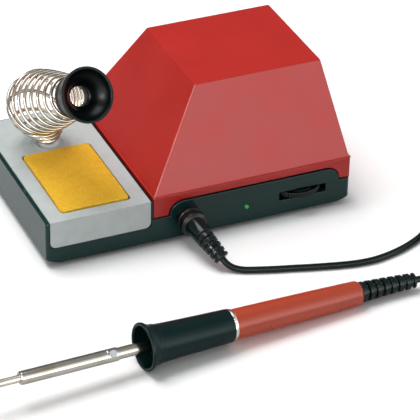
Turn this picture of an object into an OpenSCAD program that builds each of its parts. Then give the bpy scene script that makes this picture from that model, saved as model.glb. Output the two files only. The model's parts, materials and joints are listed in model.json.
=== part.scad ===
// Soldering station: a low base with a sponge tray and a coil holder on the left,
// a sloping housing on the right, and the iron lying in front on its own cord.
// Places on the station are measured from the base's left front corner and the table.

/* [Base] */
// Width of the base, left to right
base_w = 210; // [204:1:230]
// Depth of the base, front to back
base_d = 132; // [128:1:145]
// Height of the tray side's rim above the table
rim_z = 32.5; // [31:0.5:36]
// Height of the low sill that carries the housing
sill_z = 19.5; // [19:0.5:21]
// Gap under the base, which the feet fill
base_gap = 3; // [2:0.5:4]
// Wall and floor of the base moulding
base_wall = 2.4; // [2:0.1:2.8]
// Radius of the base's upright edges
base_edge_r = 3; // [1:0.5:5]
// Length of the bevel under each end of the base
bevel_l = 8; // [4:1:12]
// Rise of the bevel under each end of the base
bevel_h = 2.5; // [1:0.5:4]
// Diameter of a rubber foot
foot_d = 12; // [9:0.5:15]

/* [Panels] */
// Left end of the raised panel in the front, from the housing's left side
panel_in = 11.5; // [8:0.5:14]
// Height of the panels' top edge above the table
panel_z = 29; // [28:0.5:31]
// Radius of the panels' top corners
panel_r = 9; // [6:0.5:9]
// Distance of the thumbwheel's axis from the base's right side
wheel_in = 34; // [32:0.5:38]
// Diameter of the temperature thumbwheel
wheel_d = 36; // [32:0.5:38]
// Thickness of the thumbwheel
wheel_t = 4.5; // [3:0.25:5]
// How far the thumbwheel's rim stands out of the panel
wheel_proud = 3.6; // [2:0.2:5]
// Lamp's place, as a share of the width from the housing's left side to the base's right side
lamp_share = 0.4638; // [0.4:0.01:0.5]
// Diameter of the indicator lamp
lamp_d = 3; // [2.5:0.1:5]
// Distance of the iron's socket from the housing's left side
socket_in = 23.5; // [22:0.5:26]
// Outside diameter of the iron's plug
plug_d = 17.2; // [16.5:0.1:18]

/* [Housing] */
// Distance of the housing's left side from the base's left side
housing_x = 72; // [68:0.5:76]
// Height of the housing's flat top above the table
housing_z = 96.5; // [90:0.5:110]
// Height of the crease between the skirt and the slopes
crease_z = 34.5; // [34:0.5:38]
// How far the left slope leans in
lean_left = 38; // [30:1:44]
// How far the right slope leans in
lean_right = 12.5; // [6:0.5:18]
// How far the front and the back slope lean in
lean_ends = 25; // [18:1:30]
// Wall of the housing
housing_wall = 2.5; // [2:0.1:3]

/* [Tray] */
// Thickness of the folded tray plate
tray_t = 1; // [0.8:0.1:1.5]
// Rim of the base left bare beside the tray plate
tray_rim = 2.5; // [2:0.1:4]
// Height of the folded front lip
lip_h = 19; // [14:0.5:22]
// Radius of the lip's lower corners
lip_r = 4; // [2:0.5:6]
// Width of the sponge
sponge_w = 45.5; // [40:0.5:50]
// Length of the sponge, front to back
sponge_l = 72; // [60:1:74]
// Thickness of the sponge
sponge_t = 12; // [9:0.5:14]
// Distance of the sponge from the front of the base
sponge_in = 8.8; // [8:0.2:14]

/* [Holder] */
// Place of the funnel's neck from the base's left side
neck_x = 34; // [31:0.5:37]
// Place of the funnel's neck from the base's front
neck_y = 33; // [30:0.5:40]
// Height of the funnel's neck above the table
neck_z = 100; // [98:0.5:104]
// Rise of the holder's axis towards the front
holder_rise = 30.5; // [28:0.5:33]
// Turn of the holder's axis towards the right
holder_turn = 8.5; // [4:0.5:10]
// Diameter of the holder's wire
wire_d = 2.2; // [1.8:0.1:2.4]
// Largest radius of the coil, at the middle of the wire
coil_r = 20.5; // [19:0.25:22]
// Radius of the coil behind the funnel
coil_neck_r = 12.4; // [12:0.1:13]
// Radius of the coil on the tray
coil_foot_r = 5.5; // [5.4:0.1:6]
// Bore of the funnel's neck
neck_d = 12.6; // [11:0.1:14]
// Outside diameter of the funnel's mouth
funnel_d = 35.4; // [32:0.2:38]
// Length of the funnel
funnel_l = 15; // [12:0.5:18]

/* [Iron] */
// Diameter of the grip's flange
flange_d = 30; // [28:0.5:32]
// Diameter of the handle where it leaves the grip
handle_d = 18.6; // [18:0.1:19.4]
// Diameter of the handle's rear end
handle_rear_d = 15.6; // [15:0.1:17]
// Length of the handle behind the grip
handle_l = 89; // [80:1:100]
// Length of the grip
grip_l = 58; // [52:1:64]
// Length of the barrel's sleeve
sleeve_l = 63; // [56:1:70]
// Diameter of the barrel's sleeve
sleeve_d = 8.4; // [8.2:0.1:9]
// Diameter of the tip
tip_d = 4.6; // [4.2:0.1:4.8]
// Length of the tip in front of the barrel
tip_out = 22; // [16:1:30]
// Length of the strain relief
relief_l = 39; // [32:1:44]
// Diameter of the iron's cord
cord_d = 4.2; // [4:0.1:4.4]

/* [Hidden] */

// Overrun of every cut, seams and running gaps
over = 1;
seam = 0.3;
fit_gap = 0.05;
run_gap = 0.08;
soft_gap = 0.3;

// Base heights and rooms
under_z = base_gap;
floor_z = base_gap + base_wall;
part_x = housing_x - seam;
room_x = part_x + base_wall;
ledge_w = 3;
ledge_h = 3;

// Posts that hold the housing down, and their screws
post_left = 11;
post_right = 7.2;
post_end = 13;
post_r = 3.6;
post_z = 16;
post_top_z = housing_z;
post_places = [for (x = [housing_x + post_left, base_w - post_right], y = [post_end, base_d - post_end])
    [x, y]];
screw_r = 1.5;
screw_head_r = 2.8;
screw_head_h = 2.2;
screw_sink = 4;
screw_l = 20;

// Feet
foot_in = 20;
foot_sink = 1.2;
foot_places = [for (x = [foot_in, base_w - foot_in], y = [foot_in, base_d - foot_in]) [x, y]];

// Vent slots in the floor
vent_w = 3;
vent_l = 26;
vent_pitch = 7;
vent_count = 6;

// Panels in the front and the back sill
panel_x0 = housing_x + panel_in;
panel_right = 6;
panel_x1 = base_w - panel_right - base_wall + seam;
back_panel_w = 86;
back_panel_x0 = panel_x1 - back_panel_w;

// Thumbwheel
wheel_r = wheel_d / 2;
wheel_x = base_w - wheel_in;
wheel_y = wheel_r - wheel_proud;
wheel_z = 13.8;
wheel_notches = 48;
wheel_notch_r = 0.55;
slot_w = 33;
slot_gap = 0.75;
hub_r = 5;
hub_h = 1.2;

// Indicator lamp
lamp_x = housing_x + lamp_share * (base_w - housing_x);
lamp_z = 14.8;
lamp_out = 0.8;
lamp_l = 5;
lamp_rim = 0.45;
lamp_rim_t = 1;
lead_r = 0.3;
lead_pitch = 2.54;
lead_back = 4;

// Housing
face_in = 1;
slope_in = 0.6;

// Tray plate, lip, sponge and dish
tray_x1 = housing_x - tray_rim + fit_gap * 10;
tray_w = tray_x1 - tray_rim;
tray_top_z = rim_z + tray_t;
sponge_gap = 1;
sponge_x = tray_rim + (tray_w - sponge_w) / 2;
sponge_r = 2;
sponge_proud = 2;
sponge_crown = 0.7;
sponge_z = tray_top_z + sponge_proud - sponge_t;
dish_t = 0.8;
dish_flange = 2;
dish_r = sponge_r + sponge_gap;

// Holder: the coil's axis climbs from the tray, bends over and runs straight to the neck
holder_reach = 48;
bend_r = 28;
foot_turns = 3;
bend_turns = 3.2;
barrel_turns = 6.8;
coil_turns = foot_turns + bend_turns + barrel_turns;
coil_mid_share = 0.72;
coil_mid_r = coil_r * coil_mid_share;
neck_power = 1.3;
foot_right = 9.5;
foot_front = 3;
foot_boss_r = 8;
foot_plug_r = 3.5;
foot_plug_h = 5;
holder_screw_r = 2;
holder_screw_head_r = 3.3;
holder_screw_head_h = 2.2;
holder_screw_l = 12;
collar_t = 3.6;
collar_r = 14.2;
collar_bore_r = 7.6;
neck_wall = 1.2;
mouth_wall = 1.6;
neck_l = 3;
rings_per_turn = 8;
wire_sides = 6;

// Circuit board and what stands on it
board_left = 40;
board_right = 12;
board_front = 5;
board_share = 0.31;
board_l = board_share * base_d;
board_t = 1.6;
board_lift = 2.6;
board_z = floor_z + board_lift;
board_top = board_z + board_t;
board_x0 = housing_x + board_left;
board_x1 = base_w - board_right;
board_w = board_x1 - board_x0;
board_y1 = board_front + board_l;
board_hole_in = 3.6;
board_post_r = 3;
board_screw_r = 1.25;
board_head_r = 2.2;
board_head_h = 1.5;
board_screw_l = 5;
// A place on the board, as a share of its width and of its depth
function board_u(share) = board_x0 + share * board_w;
function board_v(share) = board_front + share * board_l;
board_holes = [for (x = [board_x0 + board_hole_in, board_x1 - board_hole_in],
    y = [board_front + board_hole_in, board_y1 - board_hole_in]) [x, y]];
dial_body_r = 8.5;
dial_body_h = 3.4;
shaft_r = 3;
heatsink_share = 0.27;
heatsink_w = heatsink_share * board_w;
heatsink_d = 9;
heatsink_h = 22;
heatsink_t = 1.6;
heatsink_x = board_u(0.21);
heatsink_y = board_y1 - heatsink_d - 3.5;
triac_w = 10;
triac_t = 4.4;
triac_h = 15;
capacitor_r = 6.25;
capacitor_h = 20;
capacitor_x = board_u(0.13);
capacitor_y = board_v(0.56);
chip_w = 9.4;
chip_d = 6.2;
chip_h = 3.4;
chip_x = board_u(0.04);
chip_y = board_v(0.19);
resistor_r = 1.2;
resistor_l = 6.3;
resistor_pitch = 2.8;
resistor_count = 3;
resistor_x = board_u(0.235);
resistor_y = board_v(0.19);
fuse_r = 2.5;
fuse_share = 0.2326;
fuse_l = fuse_share * board_w;
fuse_cap_l = 5;
fuse_lift = 1.6;
fuse_x = board_u(0.494);
fuse_y = board_y1 - 3.2;
clip_t = 0.6;

// Transformer
core_share = 0.4783;
core_w = core_share * (base_w - housing_x);
core_leg = core_w / 6;
core_h = 5 * core_leg;
core_d = 0.2273 * base_d;
core_x = (housing_x + base_w) / 2 + 9;
winding_out = 0.0758 * base_d;
winding_gap = 4;
core_y = board_y1 + winding_gap + winding_out + core_d / 2;
bobbin_t = 1.2;
bobbin_gap = 0.3;
clamp_t = 1.2;
clamp_d = 18;
clamp_foot = 12;
window_w = core_leg;
window_h = core_h - 2 * core_leg;
window_z = floor_z + core_leg;

// Mains switch in the back panel
switch_in = 62;
switch_z = 16;
switch_w = 18.8;
switch_h = 12.8;
switch_flange = 1.2;
switch_flange_t = 1.5;
switch_depth = 16;
switch_pocket_w = 15.8;
switch_pocket_h = 9.4;
switch_pocket_d = 8;
rocker_w = 14;
rocker_h = 9;
rocker_pivot = 3;
rocker_swing = 8;
rocker_edge = 4.6;
rocker_dip = 3.2;
rocker_root = 1.6;
rocker_root_w = 7;
rocker_pin_r = 1;
rocker_pin_out = 0.7;
switch_x = base_w - switch_in;
blade_w = 4.8;
blade_t = 0.8;
blade_l = 7;
blade_pitch = 10;

// Mains inlet bush
gland_in = 26;
gland_z = 15;
gland_bore_r = 3.6;
gland_body_r = 5.6;
gland_head_r = 7.5;
gland_rim_r = 5;
gland_out = 8;
gland_head_t = 4;
gland_tail = 6;
gland_nut_r = 8;
gland_nut_t = 3;
gland_x = base_w - gland_in;

// Iron's socket and plug, measured out of the panel
socket_x = housing_x + socket_in;
socket_z = 16.5;
socket_r = plug_d / 2;
socket_rim = 0.9;
socket_rim_t = 1;
socket_depth = 13;
socket_bore_r = 6.9;
socket_bore_d = 8.5;
socket_nut_r = 11;
socket_nut_t = 2.4;
pin_count = 6;
pin_r = 0.7;
pin_ring_r = 4;
pin_l = 3.6;
plug_l = 11;
plug_wall = 1.6;
plug_nose = 1.5;
insert_collar = 2;
boot_r = 6.8;
boot_end_r = 5.9;
boot_core_share = 0.69;
boot_ribs = 6;
boot_rib_t = 2.9;
boot_bend = 44;
boot_bend_r = 40;
boot_dip = 54;

// Iron, measured along its axis from the grip's front, and its lie on the table
iron_x = 15.8;
iron_y = -119.3;
iron_yaw = 5;
grip_edge = 1;
ring_l = 2.4;
handle_wall = 1.5;
handle_front = grip_l + ring_l;
handle_rear = handle_front + handle_l;
grip_rest_s = grip_edge;
handle_edge = 1.2;
rest_s = handle_rear - handle_edge;
iron_tilt = atan((flange_d - handle_rear_d) / 2 / (rest_s - grip_rest_s));
iron_z = flange_d / 2 * cos(iron_tilt) + grip_rest_s * sin(iron_tilt);
grip_waist_d = 24;
grip_waist_s = 8;
grip_rear_d = 20.6;
grip_wall = 1.2;
cup_depth = 9;
cup_share = 0.86;
spigot_front = 12;
spigot_wall = 1.4;
sleeve_wall = 0.5;
sleeve_back = 17;
tube_d = sleeve_d - 2 * sleeve_wall - 2 * fit_gap;
tube_wall = 0.5;
tube_back = 24;
tube_setback = 3;
core_gap = 0.1;
core_wall = 0.3;
heater_l = 48;
winding_share = 0.83;
heater_flange_t = 1.6;
heater_flange_s = cup_depth + 1.2;
tip_in = 44;
tip_cone = 9;
tip_flat = 1.6;
tip_edge = 0.9;
barrel_screw_s = -21;
barrel_screw_r = 1.5;
barrel_screw_head_r = 2.2;
barrel_screw_head_h = 0.9;
barrel_screw_turn = 225;
relief_r = 6.6;
relief_end_r = 4.8;
relief_core_share = 0.65;
relief_ribs = 8;
relief_rib_t = 2.6;
relief_bend = 9;
relief_turn = -110;
relief_root = 9;
relief_flange = 0.6;
relief_flange_t = 2.4;
handle_bore_end_r = handle_rear_d / 2 - handle_wall - handle_edge;
terminal_l = 18;
terminal_w = 10.6;
terminal_t = 3;
terminal_s = 72;
iron_wire_r = 0.5;
iron_wire_pitch = 2.4;

// Cord: round places on the table, from the base's left front corner
cord_r = cord_d / 2;
cord_sides = 8;
lead_route = [[106.6, -45.6, 3.3], [110, -47.8, 2.4], [114.5, -50, 2.1], [122.5, -52.9, 2.1],
    [132, -56, 2.1], [142.4, -58.9, 2.1], [152, -61.8, 2.1], [162.5, -64.6, 2.1], [173, -67.2, 2.1],
    [183, -69, 2.1], [194, -69.5, 2.1], [204, -68, 2.1], [214.6, -65.2, 2.1], [224, -61.4, 2.1],
    [233, -56.6, 2.1], [241, -50.8, 2.3]];
tail_route = [[258, -112, 6.8], [249, -112.9, 5.2], [240, -112.8, 3.7], [231, -111.6, 2.7],
    [222, -109.4, 2.8], [214.6, -107.2, 4.6]];
coil_x = 266;
coil_y = -76;
coil_phase = -15;
tie_t = 0.6;
tie_w = 9;
tie_angle = 0;
cord_gap = 0.6;
cord_pitch = cord_d + cord_gap;
cord_turns = 6.5;
cord_coil_r = 33;
coil_z = tie_t + cord_r + fit_gap;
cord_rings = 24;

// Origin of the part: the middle of the station and the iron together, on the table
axis_y = cos(iron_tilt) * sin(iron_yaw);
span_x0 = iron_x - (sleeve_back + sleeve_l + tip_out) * cos(iron_tilt) * cos(iron_yaw);
span_y0 = iron_y + grip_rest_s * axis_y - flange_d / 2 * sqrt(1 - axis_y * axis_y);
origin_x = (span_x0 + base_w) / 2;
origin_y = (span_y0 + base_d + gland_out) / 2;

// Placing
module at_station() { translate([-origin_x, -origin_y, 0]) children(); }
module at_holder() {
    at_station() translate([neck_x, neck_y, neck_z]) rotate([90 - holder_rise, 0, holder_turn]) children();
}
module at_plug() { at_station() translate([socket_x, 0, socket_z]) rotate([90, 0, 0]) children(); }
module at_iron() {
    at_station() translate([iron_x, iron_y, iron_z]) rotate([0, iron_tilt, iron_yaw])
        rotate([0, 90, 0]) children();
}

// Flat outlines pushed along the station's width or depth
module along_x(x0, x1) { translate([x0, 0, 0]) rotate([90, 0, 90]) linear_extrude(x1 - x0) children(); }
module along_y(y0, y1) { translate([0, y1, 0]) rotate([90, 0, 0]) linear_extrude(y1 - y0) children(); }

module rounded(w, d, r) {
    translate([r, 0]) square([w - 2 * r, d]);
    translate([0, r]) square([w, d - 2 * r]);
    for (x = [r, w - r], y = [r, d - r]) translate([x, y]) circle(r = r, $fn = 32);
}

module block(lo, hi) { translate(lo) cube(hi - lo); }

// Sloping block between two level rectangles given as [x0, x1, y0, y1]
module sloping(low, low_z, high, high_z) {
    intersection() {
        along_y(low[2], low[3])
            polygon([[low[0], low_z], [low[1], low_z], [high[1], high_z], [high[0], high_z]]);
        along_x(low[0], low[1])
            polygon([[low[2], low_z], [low[3], low_z], [high[3], high_z], [high[2], high_z]]);
    }
}

// Tube swept through points, with its rings square to the path
function unit(v) = v / norm(v);
function heading(p, i) = unit(p[min(i + 1, len(p) - 1)] - p[max(i - 1, 0)]);
function tube_ring(p, i, r, sides, guide) =
    let (t = heading(p, i), n = unit(cross(guide, t)), b = cross(t, n))
    [for (k = [0 : sides - 1]) p[i] + r * (cos(k * 360 / sides) * n + sin(k * 360 / sides) * b)];
module swept_tube(p, r, sides, guide = [0, 0, 1]) {
    last = len(p) - 1;
    points = [for (i = [0 : last]) each tube_ring(p, i, r, sides, guide)];
    walls = [for (i = [0 : last - 1], k = [0 : sides - 1])
        let (a = i * sides + k, b = i * sides + (k + 1) % sides)
        each [[a, a + sides, b], [b, a + sides, b + sides]]];
    start = [for (k = [1 : sides - 2]) [0, k, k + 1]];
    end = [for (k = [1 : sides - 2]) [last * sides, last * sides + k + 1, last * sides + k]];
    polyhedron(points, concat(start, walls, end));
}

// Least gap of a tube to itself, on points a half turn or more apart along it
function least_gap(p, apart, d) =
    min([for (i = [0 : len(p) - 1 - apart], j = [i + apart : len(p) - 1]) norm(p[i] - p[j])]) - d;

// Round wire bent square through points
module wire(points, r) {
    for (i = [1 : len(points) - 1]) {
        step = points[i] - points[i - 1];
        translate(points[i - 1]) rotate([0, acos(step[2] / norm(step)), atan2(step[1], step[0])])
            cylinder(r = r, h = norm(step), $fn = 20);
    }
    for (i = [1 : len(points) - 2]) translate(points[i]) sphere(r = r, $fn = 20);
}

// Ribbed relief on a curved core, starting at the origin along Z and bending towards X
module ribbed_relief(length, bend, bend_radius, r0, r1, core_share, ribs, rib_t) {
    rib_step = bend / ribs;
    end_r = r1 * core_share;
    translate([bend_radius, 0, 0]) rotate([-90, 0, 0])
        rotate_extrude(angle = bend, $fn = 96) translate([-bend_radius, 0]) circle(r = end_r, $fn = 32);
    for (i = [0 : ribs - 1])
        translate([bend_radius, 0, 0]) rotate([0, (i + 0.5) * rib_step, 0])
            translate([-bend_radius, 0, -rib_t / 2])
            cylinder(r = r0 + (r1 - r0) * i / (ribs - 1), h = rib_t, $fn = 40);
}

// Base
module panel_outline(x0, x1, grow) {
    r = panel_r + grow;
    low_z = under_z + bevel_h;
    translate([x0 - grow, low_z]) square([x1 - x0 + 2 * grow, panel_z - panel_r - low_z]);
    translate([x0 + panel_r, sill_z - over])
        square([x1 - x0 - 2 * panel_r, panel_z - sill_z + over + grow]);
    for (x = [x0 + panel_r, x1 - panel_r]) translate([x, panel_z - panel_r]) circle(r = r, $fn = 48);
}

module base_block() {
    intersection() {
        linear_extrude(panel_z + rim_z) rounded(base_w, base_d, base_edge_r);
        along_y(-over, base_d + over)
            polygon([[0, under_z + bevel_h], [bevel_l, under_z], [base_w - bevel_l, under_z],
                [base_w, under_z + bevel_h], [base_w, sill_z], [part_x, sill_z], [part_x, rim_z],
                [0, rim_z]]);
    }
    along_y(0, base_wall) panel_outline(panel_x0, panel_x1, 0);
    along_y(base_d - base_wall, base_d) panel_outline(back_panel_x0, panel_x1, 0);
}

module base_rooms() {
    room_w = part_x - 2 * base_wall;
    block([base_wall, base_wall, floor_z], [base_wall + room_w, base_d - base_wall, rim_z - ledge_h]);
    block([base_wall + ledge_w, base_wall + ledge_w, floor_z],
        [base_wall + room_w - ledge_w, base_d - base_wall - ledge_w, rim_z + over]);
    block([room_x, base_wall, floor_z], [base_w - base_wall, base_d - base_wall, rim_z + over]);
    block([part_x, base_wall, sill_z], [base_w + over, base_d - base_wall, rim_z + over]);
    // Seat of the tray plate's front lip
    block([tray_rim - seam, -over, tray_top_z - lip_h - seam], [tray_x1 + seam, tray_t, rim_z + over]);
}

module base_bosses() {
    for (p = post_places) translate([p[0], p[1], under_z])
        cylinder(r = post_r, h = post_z - under_z, $fn = 40);
    for (p = board_holes) translate([p[0], p[1], under_z])
        cylinder(r = board_post_r, h = board_z - under_z, $fn = 32);
    translate([foot_x(), foot_y(), under_z]) cylinder(r = foot_boss_r, h = rim_z - under_z, $fn = 40);
}

module base_holes() {
    for (p = post_places) translate([p[0], p[1], 0]) {
        translate([0, 0, under_z - over]) cylinder(r = screw_head_r + seam, h = screw_sink + over, $fn = 32);
        translate([0, 0, under_z]) cylinder(r = screw_r + fit_gap, h = post_z, $fn = 32);
    }
    for (p = foot_places) translate([p[0], p[1], under_z - over])
        cylinder(r = foot_d / 2 + fit_gap, h = foot_sink + over, $fn = 48);
    for (p = board_holes) translate([p[0], p[1], board_top - board_screw_l])
        cylinder(r = board_screw_r + fit_gap, h = board_screw_l, $fn = 24);
    for (s = [-1, 1]) translate([clamp_hole_x(s), core_y, under_z - over])
        cylinder(r = screw_r + fit_gap, h = base_wall + 2 * over, $fn = 24);
    translate([foot_x(), foot_y(), tray_top_z + foot_plug_h - holder_screw_l])
        cylinder(r = holder_screw_r + fit_gap, h = holder_screw_l, $fn = 24);
    for (i = [0 : vent_count - 1])
        translate([core_x + (i - (vent_count - 1) / 2) * vent_pitch - vent_w / 2, core_y - vent_l / 2, 0])
            cube([vent_w, vent_l, floor_z + over]);
    // Front panel: slot of the thumbwheel, lamp and socket
    block([wheel_x - slot_w / 2, -over, wheel_z - slot_gap],
        [wheel_x + slot_w / 2, base_wall + over, wheel_z + wheel_t + slot_gap]);
    translate([lamp_x, base_wall + over, lamp_z]) rotate([90, 0, 0])
        cylinder(r = lamp_d / 2 + fit_gap, h = base_wall + 2 * over, $fn = 32);
    translate([socket_x, base_wall + over, socket_z]) rotate([90, 0, 0])
        cylinder(r = socket_r - socket_rim + fit_gap, h = base_wall + 2 * over, $fn = 64);
    // Back panel: mains switch and inlet bush
    block([switch_x - switch_w / 2 - fit_gap, base_d - base_wall - over, switch_z - switch_h / 2 - fit_gap],
        [switch_x + switch_w / 2 + fit_gap, base_d + over, switch_z + switch_h / 2 + fit_gap]);
    translate([gland_x, base_d + over, gland_z]) rotate([90, 0, 0])
        cylinder(r = gland_body_r + fit_gap, h = base_wall + 2 * over, $fn = 48);
}

module base_shell() {
    color("#1d3634") at_station() difference() {
        union() {
            difference() {
                base_block();
                base_rooms();
            }
            base_bosses();
        }
        base_holes();
    }
}

// Housing
function skirt(inset) = [housing_x + inset, base_w - inset, face_in + inset, base_d - face_in - inset];
function slope_low(inset) = let (s = skirt(inset), i = inset > 0 ? 0 : slope_in)
    [s[0] + i, s[1] - i, s[2] + i, s[3] - i];
function slope_high(inset) = [housing_x + lean_left + inset, base_w - lean_right - inset,
    face_in + lean_ends + inset, base_d - face_in - lean_ends - inset];

module housing_block(inset, low_z, top_z) {
    s = skirt(inset);
    block([s[0], s[2], low_z], [s[1], s[3], crease_z]);
    sloping(slope_low(inset), crease_z - (inset > 0 ? fit_gap : 0), slope_high(inset), top_z);
}

module housing_cover() {
    color("#b9403c") at_station() difference() {
        union() {
            difference() {
                housing_block(0, sill_z, housing_z);
                housing_block(housing_wall, sill_z - over, housing_z - housing_wall);
            }
            intersection() {
                for (p = post_places) translate([p[0], p[1], post_z])
                    cylinder(r = post_r, h = post_top_z - post_z, $fn = 40);
                union() {
                    housing_block(0, sill_z, housing_z);
                    s = skirt(housing_wall);
                    block([s[0], s[2], post_z], [s[1], s[3], sill_z + over]);
                }
            }
        }
        for (p = post_places) translate([p[0], p[1], post_z - over])
            cylinder(r = screw_r + fit_gap, h = screw_l, $fn = 32);
        along_y(-over, face_in + housing_wall + over) panel_outline(panel_x0, panel_x1, seam);
        along_y(base_d - face_in - housing_wall - over, base_d + over)
            panel_outline(back_panel_x0, panel_x1, seam);
    }
}

module rubber_feet() {
    r = foot_d / 2;
    top = under_z + foot_sink;
    color("#202322") at_station() for (p = foot_places) translate([p[0], p[1], 0])
        rotate_extrude($fn = 48)
        polygon([[0, 0], [r - base_gap / 3, 0], [r, base_gap / 3], [r, top], [0, top]]);
}

// Pan head screw pointing down from its head's seat
module pan_screw(r, head_r, head_h, length) {
    cylinder(r = head_r, h = head_h, $fn = 32);
    translate([0, 0, -length]) cylinder(r = r, h = length + fit_gap, $fn = 24);
}

module cover_screws() {
    color("#8d9092") at_station() for (p = post_places)
        translate([p[0], p[1], under_z + screw_sink]) mirror([0, 0, 1])
            pan_screw(screw_r, screw_head_r, screw_head_h, screw_l);
}

// Tray
module lip_outline() {
    z0 = tray_top_z - lip_h;
    translate([tray_rim, z0 + lip_r]) square([tray_w, lip_h - lip_r]);
    translate([tray_rim + lip_r, z0]) square([tray_w - 2 * lip_r, lip_r + over]);
    for (x = [tray_rim + lip_r, tray_x1 - lip_r]) translate([x, z0 + lip_r])
        circle(r = lip_r, $fn = 40);
}

module tray_plate() {
    color("#b4bcbf") at_station() difference() {
        union() {
            block([tray_rim, 0, rim_z], [tray_x1, base_d - tray_rim, tray_top_z]);
            along_y(0, tray_t) lip_outline();
        }
        translate([sponge_x - sponge_gap, sponge_in - sponge_gap, rim_z - over])
            linear_extrude(tray_t + 2 * over)
            rounded(sponge_w + 2 * sponge_gap, sponge_l + 2 * sponge_gap, dish_r);
        translate([foot_x(), foot_y(), rim_z - over])
            cylinder(r = holder_screw_r + fit_gap, h = tray_t + 2 * over, $fn = 24);
        translate([coil_start[0], coil_start[1], rim_z - over])
            cylinder(r = wire_d / 2 + soft_gap, h = tray_t + 2 * over, $fn = 24);
    }
}

module sponge_dish() {
    flange = sponge_gap + dish_flange;
    wall = sponge_gap + dish_t;
    dish_z = sponge_z - dish_t - soft_gap;
    color("#9aa3a6") at_station() difference() {
        union() {
            translate([sponge_x - flange, sponge_in - flange, rim_z - dish_t]) linear_extrude(dish_t)
                rounded(sponge_w + 2 * flange, sponge_l + 2 * flange, dish_r);
            translate([sponge_x - wall, sponge_in - wall, dish_z]) linear_extrude(rim_z - dish_z)
                rounded(sponge_w + 2 * wall, sponge_l + 2 * wall, dish_r + dish_t);
        }
        translate([sponge_x - sponge_gap, sponge_in - sponge_gap, dish_z + dish_t])
            linear_extrude(sponge_t + over)
            rounded(sponge_w + 2 * sponge_gap, sponge_l + 2 * sponge_gap, dish_r);
    }
}

module sponge() {
    across_r = sponge_w * sponge_w / sponge_crown / 8;
    along_r = sponge_l * sponge_l / sponge_crown / 8;
    top = sponge_z + sponge_t;
    color("#d49c2f") at_station() intersection() {
        translate([sponge_x, sponge_in, sponge_z]) linear_extrude(sponge_t + over)
            rounded(sponge_w, sponge_l, sponge_r);
        translate([sponge_x + sponge_w / 2, 0, top - across_r]) rotate([-90, 0, 0])
            cylinder(r = across_r, h = base_d, $fn = 360);
        translate([0, sponge_in + sponge_l / 2, top - along_r]) rotate([0, 90, 0])
            cylinder(r = along_r, h = base_w, $fn = 360);
    }
}

// Holder: axis directions and the middle of each turn
side_dir = [cos(holder_turn), sin(holder_turn), 0];
front_dir = [sin(holder_turn), -cos(holder_turn), 0];
up_dir = [0, 0, 1];
mouth_dir = front_dir * cos(holder_rise) + up_dir * sin(holder_rise);
bend_angle = 90 - holder_rise;
neck_place = [neck_x, neck_y, neck_z];
straight_l = holder_reach / cos(holder_rise) - collar_t;
bend_end = neck_place - mouth_dir * (straight_l + collar_t);
bend_start = bend_end - bend_r * (sin(bend_angle) * up_dir + (1 - cos(bend_angle)) * front_dir);
coil_low_z = rim_z + 1.25 * wire_d;
coil_high = straight_l - wire_d * 1.5;
function foot_x() = bend_start[0] + foot_right * side_dir[0] + foot_front * front_dir[0];
function foot_y() = bend_start[1] + foot_right * side_dir[1] + foot_front * front_dir[1];

// Share of each stretch passed after t turns
function foot_share(t) = min(t / foot_turns, 1);
function bend_share(t) = max(min((t - foot_turns) / bend_turns, 1), 0);
function barrel_share(t) = max((t - foot_turns - bend_turns) / barrel_turns, 0);
function coil_middle(t) =
    let (p = bend_angle * bend_share(t),
        lean = 0.5 + 0.5 * cos(180 * min(t / (foot_turns + bend_turns), 1)))
    bend_start + up_dir * (coil_low_z - bend_start[2]) * (1 - foot_share(t))
    + bend_r * (sin(p) * up_dir + (1 - cos(p)) * front_dir)
    + mouth_dir * coil_high * barrel_share(t)
    + lean * (foot_right * side_dir + foot_front * front_dir);
function coil_radius(t) =
    coil_foot_r + (coil_mid_r - coil_foot_r) * foot_share(t)
    + (coil_r - coil_mid_r) * sin(90 * bend_share(t))
    + (coil_neck_r - coil_r) * pow(barrel_share(t), neck_power);
function coil_point(t) =
    let (d = cos(bend_angle * bend_share(t)) * up_dir + sin(bend_angle * bend_share(t)) * front_dir)
    coil_middle(t) + coil_radius(t) * (cos(360 * t) * side_dir + sin(360 * t) * cross(d, side_dir));
function coil_path(steps) = [for (i = [0 : round(coil_turns * steps)]) coil_point(i / steps)];

coil_start = coil_point(0);
coil_end = coil_point(round(coil_turns * rings_per_turn) / rings_per_turn);
start_seat = [coil_start[0], coil_start[1], rim_z + fit_gap];
end_rise = (neck_place - mouth_dir * (collar_t + fit_gap) - coil_end) * mouth_dir;
end_seat = coil_end + mouth_dir * end_rise;
wire_guide = unit(up_dir + mouth_dir);

module holder_spring() {
    path = concat([start_seat, start_seat + up_dir * wire_d], coil_path(rings_per_turn),
        [end_seat - mouth_dir * wire_d, end_seat]);
    last = len(path) - 1;
    color("#c9c6bb") at_station() swept_tube([for (i = [0 : last]) if (i != 2 && i != last - 2) path[i]],
        wire_d / 2, wire_sides, wire_guide);
}

module holder_foot() {
    color("#3a4443") at_station() translate([foot_x(), foot_y(), tray_top_z]) difference() {
        cylinder(r = foot_plug_r, h = foot_plug_h, $fn = 48);
        translate([0, 0, -over])
            cylinder(r = holder_screw_r + fit_gap, h = foot_plug_h + 2 * over, $fn = 24);
    }
}

module holder_screw() {
    color("#9a9da0") at_station() translate([foot_x(), foot_y(), tray_top_z + foot_plug_h])
        pan_screw(holder_screw_r, holder_screw_head_r, holder_screw_head_h, holder_screw_l);
}

module funnel_collar() {
    color("#12191a") at_holder() translate([0, 0, -collar_t]) difference() {
        cylinder(r = collar_r, h = collar_t, $fn = 64);
        translate([0, 0, -over]) cylinder(r = collar_bore_r, h = collar_t + 2 * over, $fn = 64);
    }
}

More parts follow.
